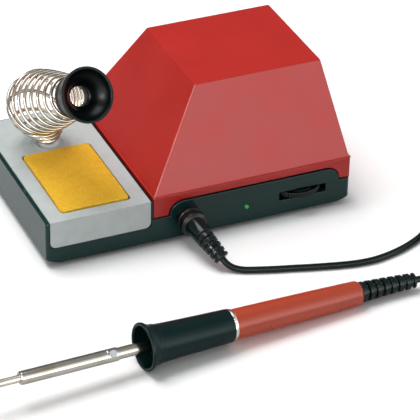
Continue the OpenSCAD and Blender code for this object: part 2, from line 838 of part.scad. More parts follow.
module funnel() {
    r0 = neck_d / 2;
    r1 = funnel_d / 2;
    tail = collar_t;
    spigot_r = collar_bore_r - fit_gap;
    half = mouth_wall / 2;
    color("#15211f") at_holder() rotate_extrude($fn = 96) polygon([[r0, -tail], [spigot_r, -tail],
        [spigot_r, 0], [collar_r, 0], [collar_r, mouth_wall], [r1 - half, funnel_l - mouth_wall],
        [r1, funnel_l - half], [r1, funnel_l], [r1 - mouth_wall, funnel_l],
        [r0 + neck_wall, neck_l], [r0, neck_l]]);
}

// Thumbwheel and its potentiometer
module thumbwheel() {
    color("#181f1f") at_station() translate([wheel_x, wheel_y, wheel_z]) difference() {
        union() {
            linear_extrude(wheel_t) difference() {
                circle(r = wheel_r, $fn = 120);
                for (i = [0 : wheel_notches - 1]) rotate(i * 360 / wheel_notches)
                    translate([wheel_r, 0]) circle(r = wheel_notch_r, $fn = 16);
            }
            cylinder(r = hub_r, h = wheel_t + hub_h, $fn = 48);
        }
        translate([0, 0, -over]) cylinder(r = shaft_r + fit_gap, h = wheel_t + hub_h + 2 * over, $fn = 48);
    }
}

module dial_shaft() {
    foot = board_top + dial_body_h / 2;
    color("#a9acae") at_station() translate([wheel_x, wheel_y, foot])
        cylinder(r = shaft_r, h = wheel_z + wheel_t + hub_h - foot, $fn = 48);
}

module dial_body() {
    color("#5d6b60") at_station() translate([wheel_x, wheel_y, board_top]) difference() {
        cylinder(r = dial_body_r, h = dial_body_h, $fn = 64);
        translate([0, 0, dial_body_h / 2 - run_gap])
            cylinder(r = shaft_r + run_gap, h = dial_body_h, $fn = 48);
    }
}

// Circuit board
module circuit_board() {
    color("#2c6b45") at_station() difference() {
        block([board_x0, board_front, board_z], [board_x1, board_y1, board_top]);
        for (p = board_holes) translate([p[0], p[1], board_z - over])
            cylinder(r = board_screw_r + fit_gap, h = board_t + 2 * over, $fn = 24);
    }
}

module board_screws() {
    color("#9a9da0") at_station() for (p = board_holes) translate([p[0], p[1], board_top])
        pan_screw(board_screw_r, board_head_r, board_head_h, board_screw_l - fit_gap);
}

module indicator_lamp() {
    r = lamp_d / 2;
    color("#2fae4f") at_station() translate([lamp_x, 0, lamp_z]) rotate([90, 0, 0]) {
        translate([0, 0, lamp_out]) intersection() {
            sphere(r = r, $fn = 40);
            cylinder(r = r, h = r, $fn = 40);
        }
        translate([0, 0, -lamp_l + lamp_out]) cylinder(r = r, h = lamp_l, $fn = 40);
        translate([0, 0, -base_wall - lamp_rim_t]) cylinder(r = r + lamp_rim, h = lamp_rim_t, $fn = 40);
    }
}

module lamp_leads() {
    y0 = lamp_l - lamp_out;
    color("#b7babb") at_station() for (s = [-1, 1]) translate([lamp_x + s * lead_pitch / 2, 0, 0])
        wire([[0, y0, lamp_z], [0, y0 + lead_back, lamp_z], [0, y0 + lead_back, board_top]], lead_r);
}

module heatsink() {
    color("#b5b8ba") at_station() translate([heatsink_x, heatsink_y, board_top]) difference() {
        cube([heatsink_w, heatsink_d, heatsink_h]);
        translate([heatsink_t, heatsink_t, -over])
            cube([heatsink_w - 2 * heatsink_t, heatsink_d, heatsink_h + 2 * over]);
    }
}

module triac() {
    x0 = heatsink_x + (heatsink_w - triac_w) / 2;
    color("#2a2c2e") at_station() {
        translate([x0, heatsink_y + heatsink_t, board_top + lead_back]) cube([triac_w, triac_t, triac_h]);
        for (i = [-1 : 1])
            translate([x0 + triac_w / 2 + i * lead_pitch, heatsink_y + heatsink_t + triac_t / 2, board_top])
            cylinder(r = lead_r, h = lead_back + over, $fn = 16);
    }
}

module smoothing_capacitor() {
    color("#28406e") at_station() translate([capacitor_x, capacitor_y, board_top])
        cylinder(r = capacitor_r, h = capacitor_h, $fn = 64);
}

module control_chip() {
    color("#26282a") at_station() translate([chip_x, chip_y, board_top]) cube([chip_w, chip_d, chip_h]);
}

module resistors() {
    color("#c8a878") at_station() for (i = [0 : resistor_count - 1])
        translate([resistor_x, resistor_y + i * resistor_pitch, board_top + resistor_r]) rotate([0, 90, 0])
            cylinder(r = resistor_r, h = resistor_l, $fn = 32);
}

module fuse_clips() {
    r = fuse_r + fit_gap;
    axis_z = fuse_lift + fuse_r;
    color("#b7a86a") at_station() for (x = [fuse_x, fuse_x + fuse_l - fuse_cap_l])
        translate([x, fuse_y, board_top]) difference() {
            translate([0, -r - clip_t, 0]) cube([fuse_cap_l, 2 * (r + clip_t), axis_z + fuse_r / 2]);
            translate([-over, 0, axis_z]) rotate([0, 90, 0])
                cylinder(r = r, h = fuse_cap_l + 2 * over, $fn = 40);
        }
}

module fuse() {
    color("#cfd6d6") at_station() translate([fuse_x, fuse_y, board_top + fuse_lift + fuse_r])
        rotate([0, 90, 0]) {
            for (z = [0, fuse_l - fuse_cap_l]) translate([0, 0, z])
                cylinder(r = fuse_r, h = fuse_cap_l, $fn = 40);
            translate([0, 0, fuse_cap_l / 2])
                cylinder(r = fuse_r - clip_t / 2, h = fuse_l - fuse_cap_l, $fn = 40);
        }
}

// Transformer
function clamp_hole_x(side) = core_x + side * (core_w / 2 + clamp_t + clamp_foot / 2);

module transformer_core() {
    color("#6d6f70") at_station() along_y(core_y - core_d / 2, core_y + core_d / 2)
        translate([core_x - core_w / 2, floor_z]) difference() {
            square([core_w, core_h]);
            for (x = [core_leg, core_w - core_leg - window_w])
                translate([x, core_leg]) square([window_w, window_h]);
        }
}

bobbin_w = core_w - 2 * core_leg - 2 * bobbin_gap;
bobbin_d = core_d + 2 * winding_out;
leg_w = core_w - 2 * core_leg - 2 * window_w;
module bobbin_blank(grow, z0, z1, w, d) {
    difference() {
        block([core_x - w / 2, core_y - d / 2, z0], [core_x + w / 2, core_y + d / 2, z1]);
        block([core_x - leg_w / 2 - grow, core_y - core_d / 2 - grow, z0 - over],
            [core_x + leg_w / 2 + grow, core_y + core_d / 2 + grow, z1 + over]);
    }
}

module transformer_bobbin() {
    z0 = window_z + bobbin_gap;
    z1 = window_z + window_h - bobbin_gap;
    tube = 2 * (bobbin_gap + bobbin_t);
    color("#d8d0b8") at_station() {
        bobbin_blank(bobbin_gap, z0, z0 + bobbin_t, bobbin_w, bobbin_d);
        bobbin_blank(bobbin_gap, z1 - bobbin_t, z1, bobbin_w, bobbin_d);
        bobbin_blank(bobbin_gap, z0, z1, leg_w + tube, core_d + tube);
    }
}

module transformer_winding() {
    color("#a8642f") at_station() bobbin_blank(bobbin_gap + bobbin_t + fit_gap,
        window_z + bobbin_gap + bobbin_t + fit_gap, window_z + window_h - bobbin_gap - bobbin_t - fit_gap,
        bobbin_w - bobbin_t, bobbin_d - bobbin_t);
}

module transformer_clamp() {
    x0 = core_x - core_w / 2;
    x1 = core_x + core_w / 2;
    top = floor_z + core_h;
    foot = clamp_t + clamp_foot;
    color("#a3a7a8") at_station() difference() {
        along_y(core_y - clamp_d / 2, core_y + clamp_d / 2)
            polygon([[x0, floor_z], [x0, top], [x1, top], [x1, floor_z], [x1 + foot, floor_z],
                [x1 + foot, floor_z + clamp_t], [x1 + clamp_t, floor_z + clamp_t],
                [x1 + clamp_t, top + clamp_t], [x0 - clamp_t, top + clamp_t],
                [x0 - clamp_t, floor_z + clamp_t], [x0 - foot, floor_z + clamp_t], [x0 - foot, floor_z]]);
        for (s = [-1, 1]) translate([clamp_hole_x(s), core_y, floor_z - over])
            cylinder(r = screw_r + fit_gap, h = clamp_t + 2 * over, $fn = 24);
    }
}

module transformer_screws() {
    color("#9a9da0") at_station() for (s = [-1, 1])
        translate([clamp_hole_x(s), core_y, floor_z + clamp_t])
        pan_screw(screw_r, screw_head_r, screw_head_h, base_wall + clamp_t - fit_gap);
}

// Mains switch
module switch_frame() {
    y1 = base_d + switch_flange_t;
    flange_w = switch_w / 2 + switch_flange;
    flange_h = switch_h / 2 + switch_flange;
    color("#1b1d1e") at_station() translate([switch_x, 0, switch_z]) difference() {
        union() {
            block([-flange_w, base_d, -flange_h], [flange_w, y1, flange_h]);
            block([-switch_w / 2, y1 - switch_depth, -switch_h / 2], [switch_w / 2, y1, switch_h / 2]);
            for (s = [-1, 1]) translate([s * blade_pitch / 2, y1 - switch_depth, 0])
                block([-blade_t / 2, -blade_l, -blade_w / 2], [blade_t / 2, over, blade_w / 2]);
        }
        block([-switch_pocket_w / 2, y1 - switch_pocket_d, -switch_pocket_h / 2],
            [switch_pocket_w / 2, y1 + over, switch_pocket_h / 2]);
        translate([0, base_d - rocker_pivot, -switch_h / 2 + fit_gap * 10])
            cylinder(r = rocker_pin_r + run_gap, h = switch_h - fit_gap * 20, $fn = 32);
    }
}

module switch_rocker() {
    reach = rocker_h / 2 + rocker_pin_out;
    color("#2a2d2e") at_station() translate([switch_x, base_d - rocker_pivot, switch_z])
        rotate([0, 0, -rocker_swing]) {
            translate([0, 0, -rocker_h / 2]) linear_extrude(rocker_h)
                polygon([[-rocker_w / 2, rocker_edge], [-rocker_w / 2, rocker_edge - rocker_root],
                    [-rocker_root_w / 2, -rocker_root], [rocker_root_w / 2, -rocker_root],
                    [rocker_w / 2, rocker_edge - rocker_root], [rocker_w / 2, rocker_edge], [0, rocker_dip]]);
            translate([0, 0, -reach]) cylinder(r = rocker_pin_r, h = 2 * reach, $fn = 32);
        }
}

// Mains inlet bush, with its mouth towards the back
module mains_gland() {
    tail = base_wall + gland_tail;
    color("#1d2020") at_station() translate([gland_x, base_d, gland_z]) rotate([-90, 0, 0])
        rotate_extrude($fn = 64) polygon([[gland_bore_r, -tail], [gland_body_r, -tail],
            [gland_body_r, 0], [gland_head_r, 0], [gland_head_r, gland_head_t], [gland_rim_r, gland_out],
            [gland_bore_r, gland_out]]);
}

module gland_nut() {
    color("#2b2f2f") at_station() translate([gland_x, base_d - base_wall, gland_z]) rotate([90, 0, 0])
        difference() {
            cylinder(r = gland_nut_r, h = gland_nut_t, $fn = 6);
            translate([0, 0, -over])
                cylinder(r = gland_body_r + fit_gap, h = gland_nut_t + 2 * over, $fn = 48);
        }
}

// Iron's socket, nut and plug
module pin_circle(r, z0, length) {
    for (i = [0 : pin_count - 1]) rotate(i * 360 / pin_count) translate([pin_ring_r, 0, z0])
        cylinder(r = r, h = length, $fn = 20);
}

module iron_socket() {
    body_r = socket_r - socket_rim;
    color("#222626") at_plug() difference() {
        union() {
            cylinder(r = socket_r, h = socket_rim_t, $fn = 64);
            translate([0, 0, -socket_depth]) cylinder(r = body_r, h = socket_depth, $fn = 64);
        }
        translate([0, 0, -socket_bore_d])
            cylinder(r = socket_bore_r, h = socket_bore_d + socket_rim_t + over, $fn = 64);
        pin_circle(pin_r + run_gap, -socket_bore_d - pin_l - run_gap, pin_l + over);
    }
}

module socket_nut() {
    color("#a9acae") at_plug() translate([0, 0, -base_wall - socket_nut_t]) difference() {
        cylinder(r = socket_nut_r, h = socket_nut_t, $fn = 6);
        translate([0, 0, -over])
            cylinder(r = socket_r - socket_rim + fit_gap, h = socket_nut_t + 2 * over, $fn = 64);
    }
}

plug_z0 = socket_rim_t + fit_gap;
plug_z1 = plug_z0 + plug_l;
insert_r = socket_bore_r - run_gap;
module plug_shell() {
    r = plug_d / 2;
    color("#151b1b") at_plug() rotate_extrude($fn = 80) polygon([[insert_r + fit_gap, plug_z0], [r, plug_z0],
        [r, plug_z1 - plug_nose], [r - plug_nose, plug_z1], [0, plug_z1], [0, plug_z1 - plug_wall],
        [insert_r + fit_gap, plug_z1 - plug_wall]]);
}

module plug_insert() {
    color("#c9cdcb") at_plug() {
        translate([0, 0, -socket_bore_d + run_gap])
            cylinder(r = insert_r, h = socket_bore_d - run_gap + plug_z0 + insert_collar, $fn = 64);
        pin_circle(pin_r, -socket_bore_d - pin_l + run_gap * 2, pin_l + over);
    }
}

module plug_boot() {
    color("#161c1c") at_plug() translate([0, 0, plug_z1]) rotate([0, 0, -boot_dip])
        ribbed_relief(boot_bend_r, boot_bend, boot_bend_r, boot_r, boot_end_r, boot_core_share,
            boot_ribs, boot_rib_t);
}

// Places and headings where the cord meets the boot and the iron's relief
function bent(bend, radius) = [radius * (1 - cos(bend)), 0, radius * sin(bend)];
function about_z(v, a) = [v[0] * cos(a) - v[1] * sin(a), v[0] * sin(a) + v[1] * cos(a), v[2]];
function plug_to_station(v) = [v[0], -v[2], v[1]];
function iron_to_station(v) =
    let (w = [v[2], v[1], -v[0]],
        tilted = [w[0] * cos(iron_tilt) + w[2] * sin(iron_tilt), w[1],
            -w[0] * sin(iron_tilt) + w[2] * cos(iron_tilt)])
    about_z(tilted, iron_yaw);
boot_tip = [socket_x, 0, socket_z]
    + plug_to_station([0, 0, plug_z1] + about_z(bent(boot_bend, boot_bend_r), -boot_dip));
boot_dir = plug_to_station(about_z([sin(boot_bend), 0, cos(boot_bend)], -boot_dip));
relief_bend_r = relief_l / relief_bend * 180 / PI;
relief_tip = [iron_x, iron_y, iron_z]
    + iron_to_station([0, 0, handle_rear] + about_z(bent(relief_bend, relief_bend_r), relief_turn));
relief_dir = iron_to_station(about_z([sin(relief_bend), 0, cos(relief_bend)], relief_turn));

// Cord
function cord_coil_r_at(t) = cord_coil_r - cord_pitch * min(t, cord_turns - t);
function cord_climb_share(t) = max(min((t - cord_turns / 2) * 2 + 0.5, 1), 0);
function cord_coil_z_at(t) = coil_z + cord_pitch * (0.5 - 0.5 * cos(180 * cord_climb_share(t)));
function cord_coil_point(t) =
    let (r = cord_coil_r_at(t), a = coil_phase + 360 * t)
    [coil_x + r * sin(a), coil_y + r * cos(a), cord_coil_z_at(t)];
cord_coil_path = [for (i = [0 : round(cord_turns * cord_rings)]) cord_coil_point(i / cord_rings)];
coil_in = cord_coil_path[0];
coil_out = cord_coil_path[len(cord_coil_path) - 1];
coil_step = cord_d * [cos(coil_phase), -sin(coil_phase), 0];
coil_lead_in = coil_in - coil_step;
coil_lead_out = coil_out - coil_step;

module cord_lead() {
    color("#1c2b2a") at_station() swept_tube(concat([boot_tip, boot_tip + boot_dir * cord_d], lead_route,
        [coil_lead_in - coil_step, coil_lead_in]), cord_r, cord_sides);
}

module cord_coil() {
    color("#1c2b2a") at_station() swept_tube(concat([coil_lead_in], cord_coil_path, [coil_lead_out]),
        cord_r, wire_sides);
}

module cord_tail() {
    color("#1c2b2a") at_station() swept_tube(concat([coil_lead_out, coil_lead_out - coil_step],
        tail_route, [relief_tip + relief_dir * cord_d, relief_tip]), cord_r, cord_sides);
}

module cord_tie() {
    inner_r = cord_coil_r - cord_pitch * cord_turns / 2 - cord_r - soft_gap;
    outer_r = cord_coil_r + cord_r + soft_gap;
    tall = cord_pitch + cord_d + soft_gap;
    color("#2d3534") at_station() translate([coil_x, coil_y, 0]) rotate(tie_angle)
        along_y(-tie_w / 2, tie_w / 2) difference() {
            translate([inner_r - tie_t, 0]) square([outer_r - inner_r + 2 * tie_t, tall + 2 * tie_t]);
            translate([inner_r, tie_t]) square([outer_r - inner_r, tall]);
        }
}

// Iron, turned about its axis
module turned(outline) { at_iron() rotate_extrude($fn = 96) polygon(outline); }

module iron_grip() {
    edge_r = flange_d / 2;
    bore_r = handle_d / 2 - handle_wall;
    color("#16302f") turned([[edge_r * cup_share, 0], [edge_r - grip_edge / 2, 0], [edge_r, grip_rest_s],
        [edge_r - grip_edge, 3 * grip_edge], [grip_waist_d / 2, grip_waist_s], [grip_rear_d / 2, grip_l],
        [bore_r + fit_gap, grip_l], [bore_r + fit_gap, cup_depth]]);
}

module handle_ring() {
    bore_r = handle_d / 2 - handle_wall + fit_gap;
    color("#d5d7d6") turned([[bore_r, grip_l], [grip_rear_d / 2 - grip_wall / 2, grip_l],
        [handle_d / 2 + grip_wall / 4, handle_front], [bore_r, handle_front]]);
}

module iron_handle() {
    front_r = handle_d / 2;
    rear_r = handle_rear_d / 2;
    spigot_r = front_r - handle_wall;
    inner_r = spigot_r - spigot_wall;
    hole_r = relief_r * relief_core_share + fit_gap;
    color("#c9432f") turned([[inner_r, spigot_front], [spigot_r, spigot_front], [spigot_r, handle_front],
        [front_r, handle_front], [rear_r, rest_s], [rear_r - handle_edge, handle_rear],
        [hole_r, handle_rear], [hole_r, rest_s - handle_edge],
        [handle_bore_end_r, rest_s - 3 * handle_edge], [inner_r, handle_front]]);
}

module heater_tube() {
    r = tube_d / 2;
    front = -sleeve_back - sleeve_l + tube_setback;
    flange_r = handle_d / 2 - handle_wall - fit_gap;
    s = heater_flange_s;
    color("#b8b4a8") turned([[r - tube_wall, front], [r, front], [r, s], [flange_r, s],
        [flange_r, s + heater_flange_t], [r, s + heater_flange_t], [r, tube_back],
        [r - tube_wall, tube_back]]);
}

module barrel_sleeve() {
    r = sleeve_d / 2;
    front = -sleeve_back - sleeve_l;
    inner = r - sleeve_wall;
    mouth_r = tip_d / 2 + core_gap;
    color("#c4bfb0") difference() {
        turned([[mouth_r, front], [inner, front], [r, front + sleeve_wall], [r, -sleeve_back],
            [inner, -sleeve_back], [inner, front + 2 * sleeve_wall], [mouth_r, front + 2 * sleeve_wall]]);
        at_iron() rotate([0, 0, barrel_screw_turn]) translate([0, 0, barrel_screw_s]) rotate([0, 90, 0])
            cylinder(r = barrel_screw_r + fit_gap, h = sleeve_d, $fn = 24);
    }
}

module barrel_screw() {
    seat = sleeve_d / 2;
    inner = tube_d / 2 + fit_gap;
    color("#9c9a90") at_iron() rotate([0, 0, barrel_screw_turn]) translate([0, 0, barrel_screw_s])
        rotate([0, 90, 0]) {
            translate([0, 0, inner]) cylinder(r = barrel_screw_r, h = seat - inner + fit_gap, $fn = 24);
            translate([0, 0, seat]) cylinder(r = barrel_screw_head_r, h = barrel_screw_head_h, $fn = 32);
        }
}

heater_front = -sleeve_back - sleeve_l + tube_setback;
heater_bore_r = tip_d / 2 + core_gap;
heater_core_r = heater_bore_r + core_wall;
module heater_core() {
    color("#e4ddcb") turned([[heater_bore_r, heater_front], [heater_core_r, heater_front],
        [heater_core_r, heater_front + heater_l], [heater_bore_r, heater_front + heater_l]]);
}

module heater_winding() {
    inner = heater_core_r + fit_gap / 2;
    outer = tube_d / 2 - tube_wall - fit_gap / 2;
    front = heater_front + heater_l * (1 - winding_share) / 2;
    rear = front + heater_l * winding_share;
    color("#8c8577") turned([[inner, front], [outer, front], [outer, rear], [inner, rear]]);
}

module iron_tip() {
    front = -sleeve_back - sleeve_l - tip_out;
    r = tip_d / 2;
    rear = -sleeve_back - sleeve_l + tip_in;
    color("#b9b4a5") at_iron() intersection() {
        rotate_extrude($fn = 64)
            polygon([[0, front], [tip_flat, front], [r, front + tip_cone], [r, rear], [0, rear]]);
        along_y(-tip_d, tip_d)
            polygon([[-tip_edge / 2, front], [tip_edge / 2, front], [tip_d, front + 2 * tip_cone],
                [tip_d, rear + over], [-tip_d, rear + over], [-tip_d, front + 2 * tip_cone]]);
    }
}

module iron_relief() {
    root_r = relief_r * relief_core_share;
    color("#161c1c") at_iron() {
        translate([0, 0, handle_rear]) rotate([0, 0, relief_turn])
            ribbed_relief(relief_l, relief_bend, relief_bend_r, relief_r, relief_end_r, relief_core_share,
                relief_ribs, relief_rib_t);
        translate([0, 0, handle_rear - relief_root])
            cylinder(r = root_r, h = relief_root + fit_gap, $fn = 40);
        translate([0, 0, handle_rear - relief_root])
            cylinder(r = root_r + relief_flange, h = relief_flange_t, $fn = 40);
    }
}

module iron_terminals() {
    color("#c8bfa4") at_iron() translate([-terminal_t / 2, -terminal_w / 2, terminal_s])
        cube([terminal_t, terminal_w, terminal_l]);
}

// Wires inside the iron: the heater's two and the cord's three
module iron_wires() {
    rear = terminal_s + terminal_l;
    color("#a8402f") at_iron() {
        for (s = [-1, 1]) translate([0, s * iron_wire_pitch / 2, heater_front + heater_l])
            cylinder(r = iron_wire_r, h = terminal_s - heater_front - heater_l, $fn = 20);
        for (s = [-1 : 1]) translate([0, s * iron_wire_pitch, rear])
            cylinder(r = iron_wire_r, h = handle_rear - relief_root - rear, $fn = 20);
    }
}

// Wires inside the station: mains in, switch to transformer, transformer to board, board to socket
module inner_wires() {
    wire_r = 0.9;
    turn_y = 0.46 * board_y1;
    end_x = board_x0 + 2 * wire_r;
    down_y = board_y1 - 2 * wire_r;
    front_x = core_x - leg_w / 2;
    blade_y = base_d + switch_flange_t - switch_depth - blade_l;
    gland_y = base_d - base_wall - gland_tail;
    in_y = blade_y - 3 * wire_r;
    live_x = switch_x + blade_pitch / 2;
    out_x = switch_x - blade_pitch / 2;
    winding_z = window_z + window_h / 2;
    winding_front = core_y - bobbin_d / 2 + bobbin_t / 2;
    winding_back = core_y + bobbin_d / 2 - bobbin_t / 2;
    color("#3c4a8a") at_station() {
        wire([[gland_x, gland_y, gland_z], [gland_x, in_y, gland_z], [live_x, in_y, gland_z],
            [live_x, blade_y - fit_gap, gland_z]], wire_r);
        wire([[out_x, blade_y - fit_gap, switch_z], [out_x, in_y, switch_z],
            [out_x, winding_back + 3 * wire_r, switch_z + 4 * wire_r],
            [out_x, winding_back + fit_gap, switch_z + 4 * wire_r]], wire_r);
        wire([[front_x, winding_front - fit_gap, winding_z], [front_x, down_y, winding_z],
            [front_x, down_y, board_top]], wire_r);
        wire([[socket_x, socket_depth, socket_z], [socket_x, turn_y, socket_z],
            [end_x, turn_y, socket_z], [end_x, turn_y, board_top]], wire_r);
    }
}

echo(holder_spring_least_gap = least_gap(coil_path(12), 7, wire_d));
echo(cord_coil_least_gap = least_gap(cord_coil_path, cord_rings / 2, cord_d));
echo(origin = [origin_x, origin_y], boot_tip = boot_tip, boot_dir = boot_dir, relief_tip = relief_tip,
    relief_dir = relief_dir, bend_end = bend_end, mouth_dir = mouth_dir, coil_foot = [foot_x(), foot_y()],
    iron = [iron_x, iron_y, iron_z], iron_tilt = iron_tilt);

base_shell();
housing_cover();
rubber_feet();
cover_screws();
tray_plate();
sponge_dish();
sponge();
holder_foot();
holder_screw();
holder_spring();
funnel_collar();
funnel();
thumbwheel();
dial_shaft();
dial_body();
circuit_board();
board_screws();
indicator_lamp();
lamp_leads();
heatsink();
triac();
smoothing_capacitor();
control_chip();
resistors();
fuse_clips();
fuse();
transformer_core();
transformer_bobbin();
transformer_winding();
transformer_clamp();
transformer_screws();
switch_frame();
switch_rocker();
mains_gland();
gland_nut();
iron_socket();
socket_nut();
inner_wires();
plug_shell();
plug_insert();
plug_boot();
cord_lead();
cord_coil();
cord_tail();
cord_tie();
iron_handle();
handle_ring();
iron_grip();
heater_tube();
barrel_sleeve();
barrel_screw();
heater_core();
heater_winding();
iron_tip();
iron_relief();
iron_terminals();
iron_wires();
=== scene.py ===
# Dresses the soldering station for its photograph: surfaces, finishes, light and camera.
# Places are in millimetres from the base's left front corner on the table, as the maker measures them.
import json
import math
import bmesh
import bpy
import numpy as np
from mathutils import Matrix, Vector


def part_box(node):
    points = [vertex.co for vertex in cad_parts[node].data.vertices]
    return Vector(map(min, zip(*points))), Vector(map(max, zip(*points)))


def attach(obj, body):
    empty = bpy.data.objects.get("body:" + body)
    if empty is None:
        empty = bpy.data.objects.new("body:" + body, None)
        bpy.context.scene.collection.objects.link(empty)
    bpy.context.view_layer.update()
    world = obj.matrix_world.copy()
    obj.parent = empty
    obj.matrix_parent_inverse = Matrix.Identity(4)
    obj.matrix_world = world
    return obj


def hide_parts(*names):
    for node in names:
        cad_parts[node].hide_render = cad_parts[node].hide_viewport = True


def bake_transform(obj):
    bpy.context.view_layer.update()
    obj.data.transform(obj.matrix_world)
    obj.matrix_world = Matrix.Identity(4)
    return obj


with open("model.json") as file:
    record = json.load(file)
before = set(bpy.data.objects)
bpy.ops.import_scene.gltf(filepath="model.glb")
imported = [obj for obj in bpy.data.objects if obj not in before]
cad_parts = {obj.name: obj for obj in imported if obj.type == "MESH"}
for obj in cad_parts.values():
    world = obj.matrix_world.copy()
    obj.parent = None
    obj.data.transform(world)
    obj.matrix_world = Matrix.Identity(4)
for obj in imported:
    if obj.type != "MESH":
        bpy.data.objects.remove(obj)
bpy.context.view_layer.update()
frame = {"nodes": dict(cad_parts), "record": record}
baseLow = np.array(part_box("base_shell")[0]) * 1000
corner = np.array([baseLow[0], baseLow[1], 0.0])
print("frame loaded:", len(frame["nodes"]), "nodes")


def toRow(points):  # station millimetres to the frame's metres
    return (np.asarray(points, float) + corner) / 1000


def unit(v):  # the same direction with length 1
    v = np.asarray(v, float)
    return v / np.linalg.norm(v, axis=-1, keepdims=True)


def turn(degrees, vector):  # vector turned about the upright axis
    a = math.radians(degrees)
    x, y, z = vector
    return np.array([x * math.cos(a) - y * math.sin(a), x * math.sin(a) + y * math.cos(a), z])


def facing(rightwards, upwards, backwards, spot):  # matrix of a camera or lamp from its axes and its place
    placed = np.eye(4)
    placed[:3] = np.stack([rightwards, upwards, backwards, spot], -1)
    return Matrix(placed.tolist())


# Camera: a long lens, above the front and to its left
view = {"aim": (105, 52, 38), "right": (0.9178, -0.3968, 0.0175), "up": (0.2004, 0.5006, 0.8422),
        "slide": (-25.506, 41.902), "distance": 1675.87, "focalPixels": 2586.37, "picturePixels": 420,
        "sensor": 36, "near": 0.05}
right = unit(view["right"])
back = unit(np.cross(right, view["up"]))
up = np.cross(back, right)
eye = np.array(view["aim"]) + back * view["distance"] - right * view["slide"][0] - up * view["slide"][1]
lens = bpy.data.cameras.new("camera")
lens.sensor_width = view["sensor"]
lens.lens = view["sensor"] * (view["focalPixels"] / view["picturePixels"])
lens.clip_start = view["near"]
camera = bpy.data.objects.new("camera", lens)
camera.matrix_world = facing(right, up, back, toRow(eye))
bpy.context.scene.collection.objects.link(camera)
bpy.context.scene.camera = camera
print("camera set")

# Mesh helpers. Points closer than these metres become one, and faces this near to flat become one.
weld = {"drawn": 1e-7, "solid": 1e-6, "flatDegrees": 0.5}


def surface(name, grid, wrapU=False, wrapV=True, capped=False):
    # A sheet of quads over grid[i, j]. A cap closes the first and the last ring with one face each.
    nu, nv = grid.shape[:2]
    i, j = np.meshgrid(np.arange(nu if wrapU else nu - 1), np.arange(nv if wrapV else nv - 1), indexing="ij")
    i2, j2 = (i + 1) % nu, (j + 1) % nv
    faces = np.stack([i * nv + j, i2 * nv + j, i2 * nv + j2, i * nv + j2], -1).reshape(-1, 4).tolist()
    if capped:
        faces += [list(range(nv)), list(range(nu * nv - 1, (nu - 1) * nv - 1, -1))]
    mesh = bpy.data.meshes.new(name)
    mesh.from_pydata(toRow(grid.reshape(-1, 3)).tolist(), [], faces)
    return mesh


def addPiece(name, mesh, slot, body, replaces, sharp=35, outwards=True):
    # Faces point outwards, and edges over sharp degrees stay creased. Only the cord has no body.
    if outwards:
        shell = bmesh.new()
        shell.from_mesh(mesh)
        bmesh.ops.remove_doubles(shell, verts=shell.verts, dist=weld["drawn"])
        bmesh.ops.recalc_face_normals(shell, faces=shell.faces)
        shell.to_mesh(mesh)
        shell.free()
    mesh.shade_smooth()
    mesh.set_sharp_from_angle(angle=math.radians(sharp))
    piece = bpy.data.objects.new(name, mesh)
    bpy.context.scene.collection.objects.link(piece)
    piece.data.materials.append(finishes[slot])
    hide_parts(*replaces)
    if body:
        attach(piece, body)
    return piece


def softProfile(corners, radius, steps=5):
    # Each corner of a closed outline becomes a quadratic curve that starts and ends radius from the corner,
    # or at mostOfSide of a side where the side is short.
    mostOfSide = 0.45
    p = np.asarray(corners, float)
    r = np.broadcast_to(np.asarray(radius, float), (len(p),))[:, None]
    before, after = np.roll(p, 1, 0) - p, np.roll(p, -1, 0) - p
    a = p + unit(before) * np.minimum(r, mostOfSide * np.linalg.norm(before, axis=1, keepdims=True))
    b = p + unit(after) * np.minimum(r, mostOfSide * np.linalg.norm(after, axis=1, keepdims=True))
    t = np.linspace(0, 1, steps)[None, :, None]
    curve = (1 - t) ** 2 * a[:, None] + 2 * t * (1 - t) * p[:, None] + t ** 2 * b[:, None]
    return curve.reshape(-1, 2)


def turned(profile, place, segments=96):
    # Each (distance along the axis, radius) of the profile goes once round the axis.
    angle = np.arange(segments) * 2 * np.pi / segments
    s, r = profile[:, :1], profile[:, 1:]
    return place(r * np.cos(angle), r * np.sin(angle), s + 0 * angle)


def swept(path, radius, sides, guide):
    # Rings square to the path, each a circle of that radius, with their first spoke square to guide.
    ahead = unit(np.gradient(path, axis=0))
    first = unit(np.cross(guide, ahead))
    second = np.cross(ahead, first)
    angle = np.arange(sides) * 2 * np.pi / sides
    radius = np.broadcast_to(radius, (len(path),))[:, None, None]
    spoke = np.cos(angle)[None, :, None] * first[:, None] + np.sin(angle)[None, :, None] * second[:, None]
    return path[:, None] + radius * spoke


def smoothPath(points, perSpan=6):
    # A cubic curve through the points, which runs at each one as the line between its two neighbours does.
    # A point mirrored past each end stands for the missing neighbour.
    p = np.asarray(points, float)
    p = np.vstack([2 * p[0] - p[1], p, 2 * p[-1] - p[-2]])
    t = (np.arange(perSpan) / perSpan)[None, :, None]
    a, b, c, d = p[:-3, None], p[1:-2, None], p[2:-1, None], p[3:, None]
    curve = 0.5 * (2 * b + (c - a) * t + (2 * a - 5 * b + 4 * c - d) * t ** 2
                   + (3 * b - a - 3 * c + d) * t ** 3)
    return np.vstack([curve.reshape(-1, 3), points[-1]])


def evenPath(path, step):
    # The same curve with evenly spaced points, about step apart.
    along = np.concatenate([[0], np.cumsum(np.linalg.norm(np.diff(path, axis=0), axis=1))])
    at = np.linspace(0, along[-1], max(int(round(along[-1] / step)), 2) + 1)
    return np.stack([np.interp(at, along, path[:, k]) for k in range(3)], -1)


def bentPath(place, start, hose):
    # An arc that leaves the axis at start and bends by hose["bend"] degrees towards hose["towards"].
    a = np.linspace(0, math.radians(hose["bend"]), hose["rings"])
    out, z = hose["bendRadius"] * (1 - np.cos(a)), start + hose["bendRadius"] * np.sin(a)
    towards = math.radians(hose["towards"])
    return place(out * math.cos(towards), out * math.sin(towards), z)


